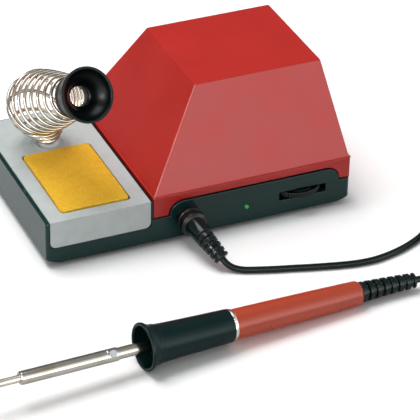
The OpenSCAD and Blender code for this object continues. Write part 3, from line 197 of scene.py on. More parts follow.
def placer(origin, xAxis, zAxis):  # gives a function from local x, y and z to station millimetres
    x, z = unit(xAxis), unit(zAxis)
    y = np.cross(z, x)
    origin = np.array(origin, float)
    return lambda a, b, c: origin + a[..., None] * x + b[..., None] * y + c[..., None] * z


def softCopy(node, name, slot, body, width, segments=2, angle=40, clamp=True):
    # A moulded copy of a solid: its doubles merged, its flat faces joined, and its edges over angle degrees
    # rounded by width millimetres.
    shell = bmesh.new()
    shell.from_mesh(frame["nodes"][node].data)
    bmesh.ops.remove_doubles(shell, verts=shell.verts, dist=weld["solid"])
    bmesh.ops.dissolve_limit(shell, angle_limit=math.radians(weld["flatDegrees"]), verts=shell.verts,
                             edges=shell.edges)
    mesh = bpy.data.meshes.new(name)
    shell.to_mesh(mesh)
    shell.free()
    piece = addPiece(name, mesh, slot, body, [node], sharp=180, outwards=False)
    bevel = piece.modifiers.new("edges", "BEVEL")
    bevel.width = width / 1000
    bevel.segments = segments
    bevel.limit_method = "ANGLE"
    bevel.angle_limit = math.radians(angle)
    bevel.use_clamp_overlap = clamp
    even = piece.modifiers.new("flat faces", "WEIGHTED_NORMAL")
    even.weight = 100
    even.mode = "FACE_AREA"
    return piece


def turnedPiece(name, corners, radius, place, slot, body, node, segments=96):
    # A closed outline of (distance along the axis, radius) pairs, softened at its corners and turned.
    grid = turned(softProfile(corners, radius), place, segments)
    return addPiece(name, surface(name, grid, wrapU=True), slot, body, [node])


# Material helpers: pattern sizes in millimetres, bump heights in metres
pattern = {"clouds": 28, "marks": 9, "foam": 1.6, "grainHeight": 0.0001, "poreHeight": 0.0004}


def srgb(code):  # hex colour to linear
    c = np.array([int(code[k:k + 2], 16) / 255 for k in (1, 3, 5)])
    c = np.where(c <= 0.04045, c / 12.92, ((c + 0.055) / 1.055) ** 2.4)
    return (*c.tolist(), 1.0)


def add(tree, kind, inputs=None, **settings):  # one shader node, each input a value or a link
    item = tree.nodes.new("ShaderNode" + kind)
    for key, value in settings.items():
        setattr(item, key, value)
    for key, value in (inputs or {}).items():
        if isinstance(value, bpy.types.NodeSocket):
            tree.links.new(value, item.inputs[key])
        else:
            item.inputs[key].default_value = value
    return item


def start(name):  # an empty material and the places on its piece
    material = bpy.data.materials.new(name)
    material.use_nodes = True
    tree = material.node_tree
    tree.nodes.clear()
    where = add(tree, "TexCoord").outputs["Object"]
    return material, tree, where


def close(tree, **sockets):  # the shader that takes these sockets, joined to the output
    names = {key: key.replace("_", " ") for key in sockets}
    shader = add(tree, "BsdfPrincipled", {names[key]: value for key, value in sockets.items()})
    add(tree, "OutputMaterial", {"Surface": shader.outputs[0]})


def mouldedPlastic(name, code, roughness=0.3, grainMm=0.35, depth=0.12, cloudShare=0.06, ior=1.5):
    # ABS, PVC and other even bodies from a polished or spark-eroded mould: faint clouds in the colour and in
    # the gloss, and a fine orange peel
    material, tree, where = start(name)
    clouds = add(tree, "TexNoise", {"Vector": where, "Scale": 1000 / pattern["clouds"], "Detail": 3.0})
    shade = add(tree, "MapRange", {"Value": clouds.outputs[0], "From Min": 0.3, "From Max": 0.7,
                                   "To Min": 1 - cloudShare, "To Max": 1 + cloudShare})
    tint = add(tree, "HueSaturation", {"Color": srgb(code), "Value": shade.outputs[0]})
    grain = add(tree, "TexNoise", {"Vector": where, "Scale": 1000 / grainMm, "Detail": 2.0})
    wear = add(tree, "MapRange", {"Value": clouds.outputs[0], "To Min": roughness * 0.8,
                                  "To Max": roughness * 1.25})
    bump = add(tree, "Bump", {"Height": grain.outputs[0], "Strength": depth,
                              "Distance": pattern["grainHeight"]})
    close(tree, Base_Color=tint.outputs[0], Roughness=wear.outputs[0], IOR=ior, Normal=bump.outputs[0])
    return material


def metal(name, code, roughness=0.25, streak=(1, 1, 1), grainMm=0.4, depth=0.08, stain=None, metallic=1.0):
    # Drawn, plated or brushed metal: streak stretches the grain, stain gives the heat or handling marks.
    # The lacquered tray uses it with hardly any metallic, since its grey coat hides the steel.
    material, tree, where = start(name)
    mapped = add(tree, "Mapping", {"Vector": where, "Scale": streak})
    grain = add(tree, "TexNoise", {"Vector": mapped.outputs[0], "Scale": 1000 / grainMm, "Detail": 4.0})
    marks = add(tree, "TexNoise", {"Vector": where, "Scale": 1000 / pattern["marks"], "Detail": 5.0})
    part = add(tree, "MapRange", {"Value": marks.outputs[0], "From Min": 0.45, "From Max": 0.75})
    colour = add(tree, "Mix", {0: part.outputs[0], 6: srgb(code), 7: srgb(stain or code)}, data_type="RGBA")
    rough = add(tree, "MapRange", {"Value": grain.outputs[0], "To Min": roughness * 0.7,
                                   "To Max": roughness * 1.3})
    bump = add(tree, "Bump", {"Height": grain.outputs[0], "Strength": depth,
                              "Distance": pattern["grainHeight"]})
    close(tree, Base_Color=colour.outputs[2], Metallic=metallic, Roughness=rough.outputs[0],
          Normal=bump.outputs[0])
    return material


def cellulose(name, light, dark, poreMm=0.7):
    # Regenerated cellulose sponge, damp: open pores, with painted shade darkening the pores
    material, tree, where = start(name)
    pores = add(tree, "TexVoronoi", {"Vector": where, "Scale": 1000 / poreMm, "Randomness": 1.0})
    fine = add(tree, "TexNoise", {"Vector": where, "Scale": 1000 / pattern["foam"], "Detail": 6.0})
    depth = add(tree, "Math", {0: pores.outputs[0], 1: fine.outputs[0]}, operation="MULTIPLY")
    # painted shade: the pits of the pores, low in the bump, take the darker colour
    part = add(tree, "MapRange", {"Value": depth.outputs[0], "From Min": 0.08, "From Max": 0.34})
    ramp = add(tree, "Mix", {0: part.outputs[0], 6: srgb(dark), 7: srgb(light)}, data_type="RGBA")
    bump = add(tree, "Bump", {"Height": depth.outputs[0], "Strength": 0.8,
                              "Distance": pattern["poreHeight"]})
    close(tree, Base_Color=ramp.outputs[2], Roughness=0.85, Normal=bump.outputs[0], Sheen_Weight=0.15)
    return material


def litLamp(name, code, roughness=0.15, glow=0.3):
    # Clear green lens with the diode lit behind it
    material, tree, where = start(name)
    close(tree, Base_Color=srgb(code), Roughness=roughness, Emission_Color=srgb(code),
          Emission_Strength=glow)
    return material


finishes = {
    "base": mouldedPlastic("moulded ABS dark green", "#00322f", 0.1, 0.45, 0.05, 0.08, 1.36),
    "housing": mouldedPlastic("moulded ABS red", "#bd170a", 0.3, 0.5, 0.12, 0.04),
    "rubber": mouldedPlastic("moulded nitrile rubber", "#17191a", 0.7, 0.6, 0.2, 0.15),
    "tray": metal("satin lacquered sheet steel", "#c6cfce", 0.42, (1, 0.12, 1), 0.5, 0.1, "#bcc6c4", 0.04),
    # the sponge's second colour is painted shade for its pores
    "sponge": cellulose("cellulose sponge", "#ffcf1e", "#f4b414"),
    "spring": metal("nickel plated spring wire", "#aea89c", 0.18, (1, 1, 1), 0.5, 0.05, "#989080"),
    "light_metal": metal("die cast zinc", "#c4c6c4", 0.38, (1, 1, 1), 0.5, 0.15, "#b2b5b3"),
    "funnel": mouldedPlastic("pressed phenolic black", "#010707", 0.3, 0.8, 0.05, 0.1, 1.25),
    "black_plastic": mouldedPlastic("moulded nylon black", "#040a0a", 0.24, 0.4, 0.1, 0.1, 1.36),
    "steel": metal("zinc plated screw steel", "#a9adb0", 0.32, (1, 1, 1), 0.4, 0.1, "#8e9294"),
    "board": mouldedPlastic("glass epoxy board green", "#23583a", 0.35, 0.3, 0.2, 0.1),
    "lamp": litLamp("lit green lens", "#178a44"),
    "chip": mouldedPlastic("moulded epoxy black", "#1c1d1f", 0.5, 0.25, 0.2, 0.1),
    "capacitor": mouldedPlastic("shrunk sleeve blue", "#22376a", 0.2, 0.5, 0.05, 0.05),
    "resistor": mouldedPlastic("lacquered ceramic tan", "#c3a26c", 0.4, 0.3, 0.1, 0.1),
    "brass": metal("pressed brass", "#c9a74e", 0.28, (1, 1, 1), 0.4, 0.1, "#a98a3c"),
    "fuse_glass": mouldedPlastic("fuse tube glass", "#c4cccc", 0.08, 0.8, 0.0, 0.05),
    "core_steel": metal("laminated core steel", "#77797b", 0.4, (0.1, 8, 0.1), 0.6, 0.3, "#5f5a55"),
    "bobbin": mouldedPlastic("moulded nylon natural", "#d5cdb4", 0.45, 0.4, 0.1, 0.06),
    "winding": metal("enamelled copper winding", "#a8602c", 0.3, (1, 1, 6), 0.5, 0.4, "#8c4a1e"),
    "wire": mouldedPlastic("stranded wire sleeve blue", "#31418a", 0.4, 0.4, 0.1, 0.05),
    "cord": mouldedPlastic("extruded PVC dark green", "#001615", 0.17, 0.5, 0.08, 0.1, 1.33),
    "handle": mouldedPlastic("moulded ABS bright red", "#ba4224", 0.28, 0.4, 0.08, 0.05),
    "grip": mouldedPlastic("moulded soft PVC green", "#001f1f", 0.3, 0.35, 0.12, 0.08, 1.25),
    "ring": metal("polished nickel ring", "#dcdad2", 0.2, (1, 1, 1), 0.4, 0.05, "#c8c4b8"),
    "barrel": metal("stainless tube", "#b5b2a9", 0.16, (0.1, 1, 1), 0.35, 0.08, "#a7a191"),
    "ceramic": mouldedPlastic("fired steatite", "#e0dac8", 0.6, 0.3, 0.2, 0.05),
    "tip_iron": metal("iron plated copper tip", "#cdc8be", 0.3, (1, 1, 1), 0.5, 0.2, "#aa9c86"),
}
for entry in frame["record"]["subparts"]:  # every solid gets its finish before any is replaced
    for place in frame["nodes"][entry["node"]].material_slots:
        place.link = "OBJECT"
        place.material = finishes[entry["material_slot"]]
print("finishes made:", len(finishes))

# Cord: from the iron's relief through the coil to the plug's boot
cord = {"diameter": 4.2, "sides": 16, "coilPlace": (266, -76), "coilRadius": 33, "coilPitch": 4.8,
        "coilTurns": 6.5, "coilPhase": -15, "coilHeight": 2.75, "ringsPerTurn": 48, "ringStep": 1.6}
plug = {"place": (95.5, 0, 16.5), "start": 1.05, "length": 11, "diameter": 17.2, "bore": 6.9,
        "grooveDepth": 0.55, "grooveAt": (3.4, 3.9, 4.6, 5.1), "wall": 1.6, "chamfer": 1.9, "hole": 0.02,
        "corner": 0.35}
boot = {"bend": 44, "bendRadius": 40, "towards": -54, "rings": 220, "rootRadius": 6.8, "endRadius": 5.1,
        "ribs": 5.25, "ribsFrom": 0.34, "coreShare": 0.8}
iron = {"place": (15.8, -119.3, 15.0309), "yaw": 5, "tilt": 2.80028, "handleRear": 149.4}
relief = {"length": 39, "bend": 9, "towards": -110, "rings": 240, "rootRadius": 6.6, "endRadius": 4.8,
          "ribs": 7, "ribsFrom": 0.05, "coreShare": 0.74}
relief["bendRadius"] = relief["length"] / math.radians(relief["bend"])
tilt = math.radians(iron["tilt"])
ironAlong = turn(iron["yaw"], (math.cos(tilt), 0, -math.sin(tilt)))
ironDown = turn(iron["yaw"], (-math.sin(tilt), 0, -math.cos(tilt)))
atIron = placer(iron["place"], ironDown, ironAlong)
atPlug = placer(plug["place"], (1, 0, 0), (0, -1, 0))
bootPath = bentPath(atPlug, plug["start"] + plug["length"], boot)
reliefPath = bentPath(atIron, iron["handleRear"], relief)
bootTip, bootAhead = bootPath[-1], unit(bootPath[-1] - bootPath[-2])
reliefTip, reliefAhead = reliefPath[-1], unit(reliefPath[-1] - reliefPath[-2])

# Places that the cord passes on the bench, from the boot to the coil and from the coil to the relief
leadRoute = [(106.6, -45.6, 3.3), (110, -47.8, 2.4), (114.5, -50, 2.1), (122.5, -52.9, 2.1), (132, -56, 2.1),
             (142.4, -58.9, 2.1), (152, -61.8, 2.1), (162.5, -64.6, 2.1), (173, -67.2, 2.1), (183, -69, 2.1),
             (194, -69.5, 2.1), (204, -68, 2.1), (214.6, -65.2, 2.1), (224, -61.4, 2.1), (233, -56.6, 2.1),
             (241, -50.8, 2.3)]
tailRoute = [(258, -112, 6.8), (249, -112.9, 5.2), (240, -112.8, 3.7), (231, -111.6, 2.7),
             (222, -109.4, 2.8), (214.6, -107.2, 4.6)]

# The coil winds inwards to its half and outwards again, and climbs one layer in the half turn at its middle
t = np.arange(int(cord["coilTurns"] * cord["ringsPerTurn"]) + 1) / cord["ringsPerTurn"]
half = cord["coilTurns"] / 2
coilAngle = np.radians(cord["coilPhase"] + 360 * t)
coilRadius = cord["coilRadius"] - cord["coilPitch"] * np.minimum(t, cord["coilTurns"] - t)
climb = 0.5 - 0.5 * np.cos(np.pi * np.clip((t - half) * 2 + 0.5, 0, 1))
coilPath = np.stack([cord["coilPlace"][0] + coilRadius * np.sin(coilAngle),
                     cord["coilPlace"][1] + coilRadius * np.cos(coilAngle),
                     cord["coilHeight"] + cord["coilPitch"] * climb], -1)
phase = math.radians(cord["coilPhase"])
coilStep = cord["diameter"] * np.array([math.cos(phase), -math.sin(phase), 0])
lead = smoothPath([bootTip, bootTip + bootAhead * cord["diameter"], *leadRoute, coilPath[0] - 2 * coilStep,
                   coilPath[0] - coilStep, coilPath[0]])
tail = smoothPath([coilPath[-1], coilPath[-1] - coilStep, coilPath[-1] - 2 * coilStep, *tailRoute,
                   reliefTip + reliefAhead * cord["diameter"], reliefTip])
cordPath = evenPath(np.vstack([lead[:-1], coilPath, tail[1:]]), cord["ringStep"])[::-1]
cordGrid = swept(cordPath, cord["diameter"] / 2, cord["sides"], (0, 0, 1))
cordPiece = addPiece("iron_cord", surface("cord", cordGrid, capped=True), "cord", None,
                     ["cord_lead", "cord_coil", "cord_tail"])
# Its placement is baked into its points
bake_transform(cordPiece)

# Tie: a flat strap round all the turns on the coil's right side, as its two outlines carried along its width
tie = {"width": 9, "thickness": 0.6, "inner": 15.0, "outer": 35.4, "tall": 9.3, "corner": 3.2, "rows": 7}
halfWide = (tie["outer"] - tie["inner"]) / 2 + tie["thickness"]
halfTall = tie["tall"] / 2 + tie["thickness"]
band = softProfile([(-halfWide, -halfTall), (halfWide, -halfTall), (halfWide, halfTall),
                    (-halfWide, halfTall)], tie["corner"], 9)
inner = band * (1 - tie["thickness"] / np.array([halfWide, halfTall]))
across = np.linspace(-tie["width"] / 2, tie["width"] / 2, tie["rows"])
loop = np.concatenate([np.repeat(band[None], tie["rows"], 0), np.repeat(inner[None], tie["rows"], 0)[::-1]])
side = np.concatenate([across, across[::-1]])[:, None] + 0 * loop[..., 0]
middle = (tie["inner"] + tie["outer"]) / 2
grid = np.stack([cord["coilPlace"][0] + middle + loop[..., 0], cord["coilPlace"][1] + side,
                 halfTall + loop[..., 1]], -1)
tiePiece = addPiece("cord_strap", surface("cord_strap", grid, wrapU=True), "cord", "plug", ["cord_tie"])

# Plug: a grooved shell, and a bent boot with its ribs. A profile's pairs are (distance along, radius).
top, r, bore = plug["start"] + plug["length"], plug["diameter"] / 2, plug["bore"]
low = r - plug["grooveDepth"]
groove = [plug["start"] + along for along in plug["grooveAt"]]
profile = [(plug["start"], bore), (plug["start"], r), (groove[0], r), (groove[1], low), (groove[2], low),
           (groove[3], r), (top - plug["wall"], r), (top, r - plug["chamfer"]), (top, plug["hole"]),
           (top - plug["wall"], plug["hole"]), (top - plug["wall"], bore)]
plugShell = turnedPiece("plug_body", profile, plug["corner"], atPlug, "black_plastic", "plug", "plug_shell")

# Ribs: how much of a wave is slot, how steep a rib's sides are, and how far and how much a hose's ends round
rib = {"slotShare": 0.06, "steepness": 2.2, "endShare": 0.012, "endDraw": 0.1, "sides": 48,
       "guide": (0, 0.05, 1)}


def ribs(share, hose, core, outer):
    # The radius is outer on a rib and core in a slot, with quick ramps, and outer before the first rib.
    wave = 0.5 + 0.5 * np.cos(2 * np.pi * (share - hose["ribsFrom"]) / (1 - hose["ribsFrom"]) * hose["ribs"])
    level = np.clip((wave - rib["slotShare"]) * rib["steepness"], 0, 1)
    level = np.where(share < hose["ribsFrom"], 1, level * level * (3 - 2 * level))
    return core + (outer - core) * level


def ribbedTube(name, path, hose, body, node):
    # A hose along the path, narrowing evenly from its root to its end, with ribs and with rounded rims.
    share = np.linspace(0, 1, len(path))
    outer = hose["rootRadius"] + (hose["endRadius"] - hose["rootRadius"]) * share
    radius = ribs(share, hose, outer * hose["coreShare"], outer)
    edge = np.minimum(1, np.minimum(share, 1 - share) / rib["endShare"])
    rounded = radius * (1 - rib["endDraw"] + rib["endDraw"] * np.sqrt(edge))
    grid = swept(path, rounded, rib["sides"], rib["guide"])
    return addPiece(name, surface(name, grid, capped=True), "cord", body, [node], sharp=50)


bootPiece = ribbedTube("plug_relief", bootPath, boot, "plug", "plug_boot")
ribbedTube("iron_relief_ribs", reliefPath, relief, "iron", "iron_relief")

# Station: moulded shells with rounded edges
softCopy("base_shell", "base_moulding", "base", "station", width=0.5, clamp=False)
softCopy("housing_cover", "housing_moulding", "housing", "station", width=0.9, segments=3, angle=15,
         clamp=False)
softCopy("tray_plate", "tray_sheet", "tray", "station", width=0.42)
softCopy("switch_frame", "switch_bezel", "black_plastic", "station", width=0.3)
softCopy("switch_rocker", "switch_key", "black_plastic", "rocker", width=0.3)
softCopy("mains_gland", "mains_bush", "rubber", "station", width=0.4)
softCopy("iron_socket", "socket_rim", "black_plastic", "station", width=0.15)
print("shells dressed")

# Holder: wire coil, collar and funnel. The neck is where the funnel sits on the collar.
holder = {"neck": (34, 33, 100), "rise": 30.5, "turn": 8.5, "reach": 48, "bendRadius": 28, "collar": 3.6,
          "footTurns": 3, "bendTurns": 3.2, "barrelTurns": 6.8, "radius": 20.5, "midShare": 0.72,
          "neckRadius": 12.4, "footRadius": 5.5, "neckPower": 1.3, "footRight": 9.5, "footFront": 3,
          "lowHeight": 35.25, "seat": 32.55, "wire": 2.2, "lastTurn": 1.5, "endStep": 0.6, "endGap": 0.05,
          "ringsPerTurn": 40, "sides": 14}
sideways, forwards = turn(holder["turn"], (1, 0, 0)), turn(holder["turn"], (0, -1, 0))
upwards = np.array([0, 0, 1.0])
rise = math.radians(holder["rise"])
mouth = forwards * math.cos(rise) + upwards * math.sin(rise)
neck = np.array(holder["neck"], float)
wire = holder["wire"]
straight = holder["reach"] / math.cos(rise) - holder["collar"]
bendSpan = math.pi / 2 - rise
bendEnd = neck - mouth * (straight + holder["collar"])
bendStart = bendEnd - holder["bendRadius"] * (math.sin(bendSpan) * upwards
                                              + (1 - math.cos(bendSpan)) * forwards)

# The wire circles a middle line that rises from the tray, bends over and runs on to the neck. Its circles
# widen from the foot to the barrel and narrow towards the neck, and lean shifts the foot aside.
turns = holder["footTurns"] + holder["bendTurns"] + holder["barrelTurns"]
t = np.arange(int(round(turns * holder["ringsPerTurn"])) + 1) / holder["ringsPerTurn"]
early = np.clip(t / holder["footTurns"], 0, 1)
bending = np.clip((t - holder["footTurns"]) / holder["bendTurns"], 0, 1)
late = np.clip((t - holder["footTurns"] - holder["bendTurns"]) / holder["barrelTurns"], 0, None)
lean = 0.5 + 0.5 * np.cos(np.pi * np.clip(t / (holder["footTurns"] + holder["bendTurns"]), 0, 1))
a = (bendSpan * bending)[:, None]
middle = (bendStart + upwards * ((holder["lowHeight"] - bendStart[2]) * (1 - early))[:, None]
          + holder["bendRadius"] * (np.sin(a) * upwards + (1 - np.cos(a)) * forwards)
          + mouth * ((straight - holder["lastTurn"] * wire) * late)[:, None]
          + lean[:, None] * (holder["footRight"] * sideways + holder["footFront"] * forwards))
midRadius = holder["radius"] * holder["midShare"]
coil = (holder["footRadius"] + (midRadius - holder["footRadius"]) * early
        + (holder["radius"] - midRadius) * np.sin(np.pi / 2 * bending)
        + (holder["neckRadius"] - holder["radius"]) * late ** holder["neckPower"])[:, None]
axis = np.cos(a) * upwards + np.sin(a) * forwards
path = middle + coil * (np.cos(2 * np.pi * t)[:, None] * sideways
                        + np.sin(2 * np.pi * t)[:, None] * np.cross(axis, sideways))
# Both ends of the wire leave their circles for a short straight leg, down to the tray and into the collar
foot = np.array([path[0, 0], path[0, 1], holder["seat"]])
end = path[-1] + mouth * np.dot(neck - mouth * (holder["collar"] + holder["endGap"]) - path[-1], mouth)
path = np.vstack([foot, foot + upwards * wire * holder["endStep"], foot + upwards * wire, path[3:-3],
                  end - mouth * wire, end - mouth * wire * holder["endStep"], end])
coilGrid = swept(path, wire / 2, holder["sides"], unit(upwards + mouth))
addPiece("holder_coil", surface("holder_coil", coilGrid, capped=True), "spring", "station",
         ["holder_spring"])

atHolder = placer(holder["neck"], sideways, mouth)
funnel = {"bore": 6.3, "spigot": 7.55, "collarBore": 7.6, "collar": 14.2, "rim": 17.7, "length": 15,
          "wall": 1.6, "segments": 128}
bore, spigot, wide, wall = funnel["bore"], funnel["spigot"], funnel["collar"], funnel["wall"]
n, m, deep = funnel["length"], funnel["rim"], holder["collar"]
profile = [(-deep, bore), (-deep, spigot), (0, spigot), (0, wide), (wall, wide), (7.5, 15.6),
           (n - 1.4, m - 0.9), (n - 1, m), (n, m), (n, m - wall), (n - 3.5, m - 2 * wall), (7.5, 10.2),
           (3, 7.5), (2.2, bore)]
turnedPiece("holder_funnel", profile, [0.2, 0.2, 0.1, 0.4, 1.2, 3, 0.5, 0.4, 0.5, 0.6, 2.5, 2.5, 1.2, 0.5],
            atHolder, "funnel", "station", "funnel", funnel["segments"])
profile = [(-deep, funnel["collarBore"]), (-deep, wide), (0, wide), (0, funnel["collarBore"])]
turnedPiece("holder_collar", profile, [0.3, 0.7, 0.7, 0.1], atHolder, "funnel", "station", "funnel_collar",
            funnel["segments"])
print("holder wound")

# Sponge: a foam block with a ribbed, slightly crowned top. Rings of its outline go out from its spine under
# the block, up its sides, and in again over its top.
sponge = {"place": (13.5, 8.8), "size": (45.5, 72), "top": 35.5, "thick": 12, "crown": 0.7, "edge": 1.2,
          "underEdge": 0.5, "corner": 3.2, "ribPitch": 1.9, "ribDepth": 0.32, "sway": 0.5, "swayLength": 5,
          "step": 0.45, "underRings": 12, "edgeRings": 7, "topRings": 56}
hx, hy = sponge["size"][0] / 2, sponge["size"][1] / 2
outline = softProfile([(-hx, -hy), (hx, -hy), (hx, hy), (-hx, hy)], sponge["corner"], 9)
outline = np.c_[np.vstack([outline, outline[:1]]), np.zeros(len(outline) + 1)]
outline = evenPath(outline, sponge["step"])[:-1, :2]
spine = np.c_[np.zeros(len(outline)), np.clip(outline[:, 1], hx - hy, hy - hx)]
quarter = np.linspace(0, np.pi / 2, sponge["edgeRings"])
inset = np.concatenate([np.linspace(1, 0.04, sponge["underRings"]),
                        sponge["edge"] / hx * (1 - np.sin(quarter)) * sponge["underEdge"],
                        sponge["edge"] / hx * (1 - np.cos(quarter)),
                        np.linspace(0.06, 1, sponge["topRings"])])
height = np.concatenate([np.full(sponge["underRings"], -sponge["thick"]),
                         -sponge["thick"] + sponge["edge"] * sponge["underEdge"] * (1 - np.cos(quarter)),
                         -sponge["edge"] * (1 - np.sin(quarter)),
                         np.zeros(sponge["topRings"])])
flat = outline[None] * (1 - inset)[:, None, None] + spine[None] * inset[:, None, None]
isTop = np.clip((height + sponge["edge"] * 1.5) / sponge["edge"], 0, 1)[:, None]
crown = sponge["crown"] * ((flat[..., 0] / hx) ** 2 + (flat[..., 1] / hy) ** 2) / 2
sway = sponge["sway"] * np.sin(flat[..., 0] / sponge["swayLength"])  # the ribs aren't quite straight
wave = sponge["ribDepth"] * (1 - np.cos(2 * np.pi * flat[..., 1] / sponge["ribPitch"] + sway))
grid = np.stack([sponge["place"][0] + hx + flat[..., 0], sponge["place"][1] + hy + flat[..., 1],
                 sponge["top"] + height[:, None] - isTop * (crown + wave)], -1)
spongePiece = addPiece("cleaning_sponge", surface("cleaning_sponge", grid), "sponge", "wet_sponge",
                       ["sponge"], sharp=60)
print("sponge laid")

# Thumbwheel: a disc on its hub, with fine round notches in its rim
wheel = {"place": (176, 14.4, 13.8), "radius": 18, "thick": 4.5, "hub": 5, "hubRise": 1.2, "bore": 3.05,
         "notches": 60, "notchDepth": 0.4, "rim": 1.2, "perNotch": 12}
k, top, hub, bore = wheel["radius"], wheel["thick"], wheel["hub"], wheel["bore"]
profile = softProfile([(0, bore), (0, k - 3), (0.5, k - 2.4), (0.5, k), (top - 0.5, k), (top - 0.5, k - 2.4),
                       (top, k - 3), (top, hub), (top + wheel["hubRise"], hub),
                       (top + wheel["hubRise"], bore)], 0.35, 4)
around = wheel["notches"] * wheel["perNotch"]
angle = np.arange(around) * 2 * np.pi / around
rim = np.clip((profile[:, 1:] - (k - wheel["rim"])) / wheel["rim"], 0, 1)
r = profile[:, 1:] - wheel["notchDepth"] * rim * (0.5 + 0.5 * np.cos(wheel["notches"] * angle)) ** 3
grid = np.stack([wheel["place"][0] + r * np.cos(angle), wheel["place"][1] + r * np.sin(angle),
                 wheel["place"][2] + profile[:, :1] + 0 * angle], -1)
addPiece("dial_wheel", surface("dial_wheel", grid, wrapU=True), "black_plastic", "dial", ["thumbwheel"])

# Iron, along its axis from the front of the grip: (distance, radius) pairs and the radius of each corner
grip = [(0.5, 12.9), (0, 13.6), (0, 14.6), (0.9, 15), (2.2, 14.7), (4.2, 13.2), (8, 12), (20, 11.4),
        (40, 10.8), (58, 10.3), (58, 7.85), (9, 7.85), (9, 12.4)]
turnedPiece("grip_moulding", grip, [0.4, 0.3, 0.4, 0.5, 1, 2, 4, 8, 9, 0.5, 0.1, 0.1, 1], atIron,
            "grip", "iron", "iron_grip")
ring = [(58, 7.85), (58, 9.9), (58.5, 10.2), (60, 9.9), (60.4, 9.5), (60.4, 7.85)]
turnedPiece("grip_band", ring, 0.2, atIron, "ring", "iron", "handle_ring")
handle = [(12, 6.4), (12, 7.8), (60.4, 7.8), (60.4, 9.3), (90, 8.95), (120, 8.4), (148.2, 7.8), (149.4, 6.6),
          (149.4, 4.4), (147, 4.4), (144.6, 5.1), (60.4, 6.4)]
turnedPiece("handle_moulding", handle, [0.1, 0.1, 0.1, 0.5, 6, 6, 0.8, 0.5, 0.1, 0.1, 0.1, 0.1], atIron,
            "handle", "iron", "iron_handle")
barrel = [(-80, 2.4), (-80, 3.5), (-79.2, 4.2), (-24.5, 4.2), (-24.1, 4.05), (-23.7, 4.2), (-17, 4.2),
          (-17, 3.7), (-79, 3.7), (-79, 2.4)]
turnedPiece("barrel_tube", barrel, 0.25, atIron, "barrel", "iron", "barrel_sleeve")

# Tip: a round rod that runs out to a chisel edge. It is wide one way and thin the other at its front.
tip = {"front": -102, "rear": -36, "radius": 2.3, "cone": 9, "edge": 0.45, "flat": 1.6, "coneRings": 24,
       "rodRings": 12, "sides": 64}
s = np.concatenate([[tip["front"]] * 2,
                    np.linspace(tip["front"], tip["front"] + tip["cone"], tip["coneRings"]),
                    np.linspace(tip["front"] + tip["cone"] + 1, tip["rear"], tip["rodRings"]),
                    [tip["rear"]] * 2])
share = np.clip((s - tip["front"]) / tip["cone"], 0, 1)
closeUp = np.ones(len(s))  # the last two rings at each end draw together
closeUp[[0, -1]] = 0.01
closeUp[[1, -2]] = 0.85
angle = np.arange(tip["sides"]) * 2 * np.pi / tip["sides"]
wide = closeUp * (tip["flat"] + (tip["radius"] - tip["flat"]) * np.sqrt(share))
thin = closeUp * (tip["edge"] + (tip["radius"] - tip["edge"]) * share)
grid = atIron(thin[:, None] * np.cos(angle), wide[:, None] * np.sin(angle), s[:, None] + 0 * angle)
addPiece("chisel_tip", surface("chisel_tip", grid, capped=True), "tip_iron", "tip", ["iron_tip"])
print("iron dressed")

# Light, floor and background. Lamp places are in metres, the floor's size in millimetres.
studio = {"ambient": 0.42, "glossFront": 3.9, "glossBack": 0.16, "glossTop": 0.45, "key": (-0.25, 0.42, 1.5),
          "keySize": 0.9, "keyPower": 17, "front": (-0.3, -1.6, 0.33), "frontSize": 0.8, "frontPower": 8,
          "side": (-1.5, -0.8, 1.2), "sideSize": 0.4, "sidePower": 24, "lampAim": (0.03, 0, 0.04),
          "floorReach": 4000, "floorDrop": 0.05, "paper": 0.93, "paperSeen": 1.14, "fadeFrom": 0.3,
          "fadeTo": 0.75}
world = bpy.data.worlds.new("white studio")
bpy.context.scene.world = world
world.use_nodes = True
sky = world.node_tree
sky.nodes.clear()
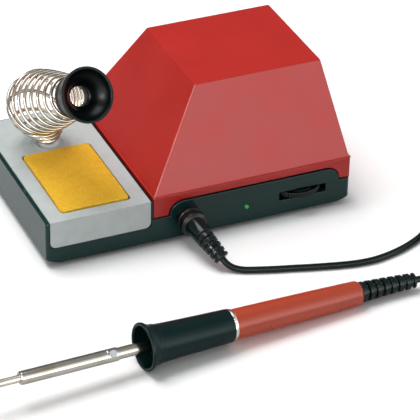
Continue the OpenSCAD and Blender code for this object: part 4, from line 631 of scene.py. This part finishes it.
# White to the camera and through glass. Reflections see a bright front, a dim back and an even top, and
# everything else gets the ambient level.
rays = add(sky, "LightPath")
shown = add(sky, "Math", {0: rays.outputs["Is Camera Ray"], 1: rays.outputs["Is Transmission Ray"]},
            operation="MAXIMUM")
way = add(sky, "SeparateXYZ", {"Vector": add(sky, "TexCoord").outputs["Generated"]})
level = add(sky, "MapRange", {"Value": way.outputs[1], "From Min": -0.9, "From Max": 0.5,
                              "To Min": studio["glossFront"], "To Max": studio["glossBack"]})
above = add(sky, "MapRange", {"Value": way.outputs[2], "From Min": 0.3, "From Max": 0.9})
level = add(sky, "Mix", {0: above.outputs[0], 2: level.outputs[0], 3: studio["glossTop"]})
level = add(sky, "Mix", {0: rays.outputs["Is Glossy Ray"], 2: studio["ambient"], 3: level.outputs[0]})
level = add(sky, "Mix", {0: shown.outputs[0], 2: level.outputs[0], 3: 1.0})
glow = add(sky, "Background", {"Color": (1, 1, 1, 1), "Strength": level.outputs[0]})
add(sky, "OutputWorld", {"Surface": glow.outputs[0]})
for name in ("key", "front", "side"):  # the front and side lamps only make highlights
    lamp = bpy.data.lights.new(name, "AREA")
    lamp.size = studio[name + "Size"]
    lamp.energy = studio[name + "Power"]
    stand = bpy.data.objects.new(name, lamp)
    bpy.context.scene.collection.objects.link(stand)
    stand.visible_diffuse = name == "key"
    spot = np.array(studio[name])
    away = unit(spot - np.array(studio["lampAim"]))
    across = unit(np.cross((0, 0, 1), away))
    stand.matrix_world = facing(across, np.cross(away, across), away, spot)

# Floor: white paper that keeps the shadow near the object and turns plain white further out
ends = np.linspace(-studio["floorReach"], studio["floorReach"], 3)
x, y = np.meshgrid(ends, ends, indexing="ij")
floorMesh = surface("floor", np.stack([x, y, 0 * x - studio["floorDrop"]], -1), wrapV=False)
paper, tree, where = start("white paper sweep")
rays = add(tree, "LightPath")
seen = add(tree, "Mix", {0: rays.outputs["Is Camera Ray"], 2: studio["paper"], 3: studio["paperSeen"]})
shade = add(tree, "CombineXYZ", {0: seen.outputs[0], 1: seen.outputs[0], 2: seen.outputs[0]})
matte = add(tree, "BsdfDiffuse", {"Color": shade.outputs[0]})
reach = add(tree, "VectorMath", {0: where}, operation="LENGTH")
far = add(tree, "MapRange", {"Value": reach.outputs["Value"], "From Min": studio["fadeFrom"],
                             "From Max": studio["fadeTo"]})
lit = add(tree, "Math", {0: far.outputs[0], 1: rays.outputs["Is Camera Ray"]}, operation="MULTIPLY")
clear = add(tree, "Emission", {"Color": (1, 1, 1, 1), "Strength": 1.0})
paperMix = add(tree, "MixShader", {0: lit.outputs[0], 1: matte.outputs[0], 2: clear.outputs[0]})
add(tree, "OutputMaterial", {"Surface": paperMix.outputs[0]})
floor = bpy.data.objects.new("floor", floorMesh)
floor.data.materials.append(paper)
bpy.context.scene.collection.objects.link(floor)
bpy.context.scene.view_settings.view_transform = "Standard"
print("studio lit")
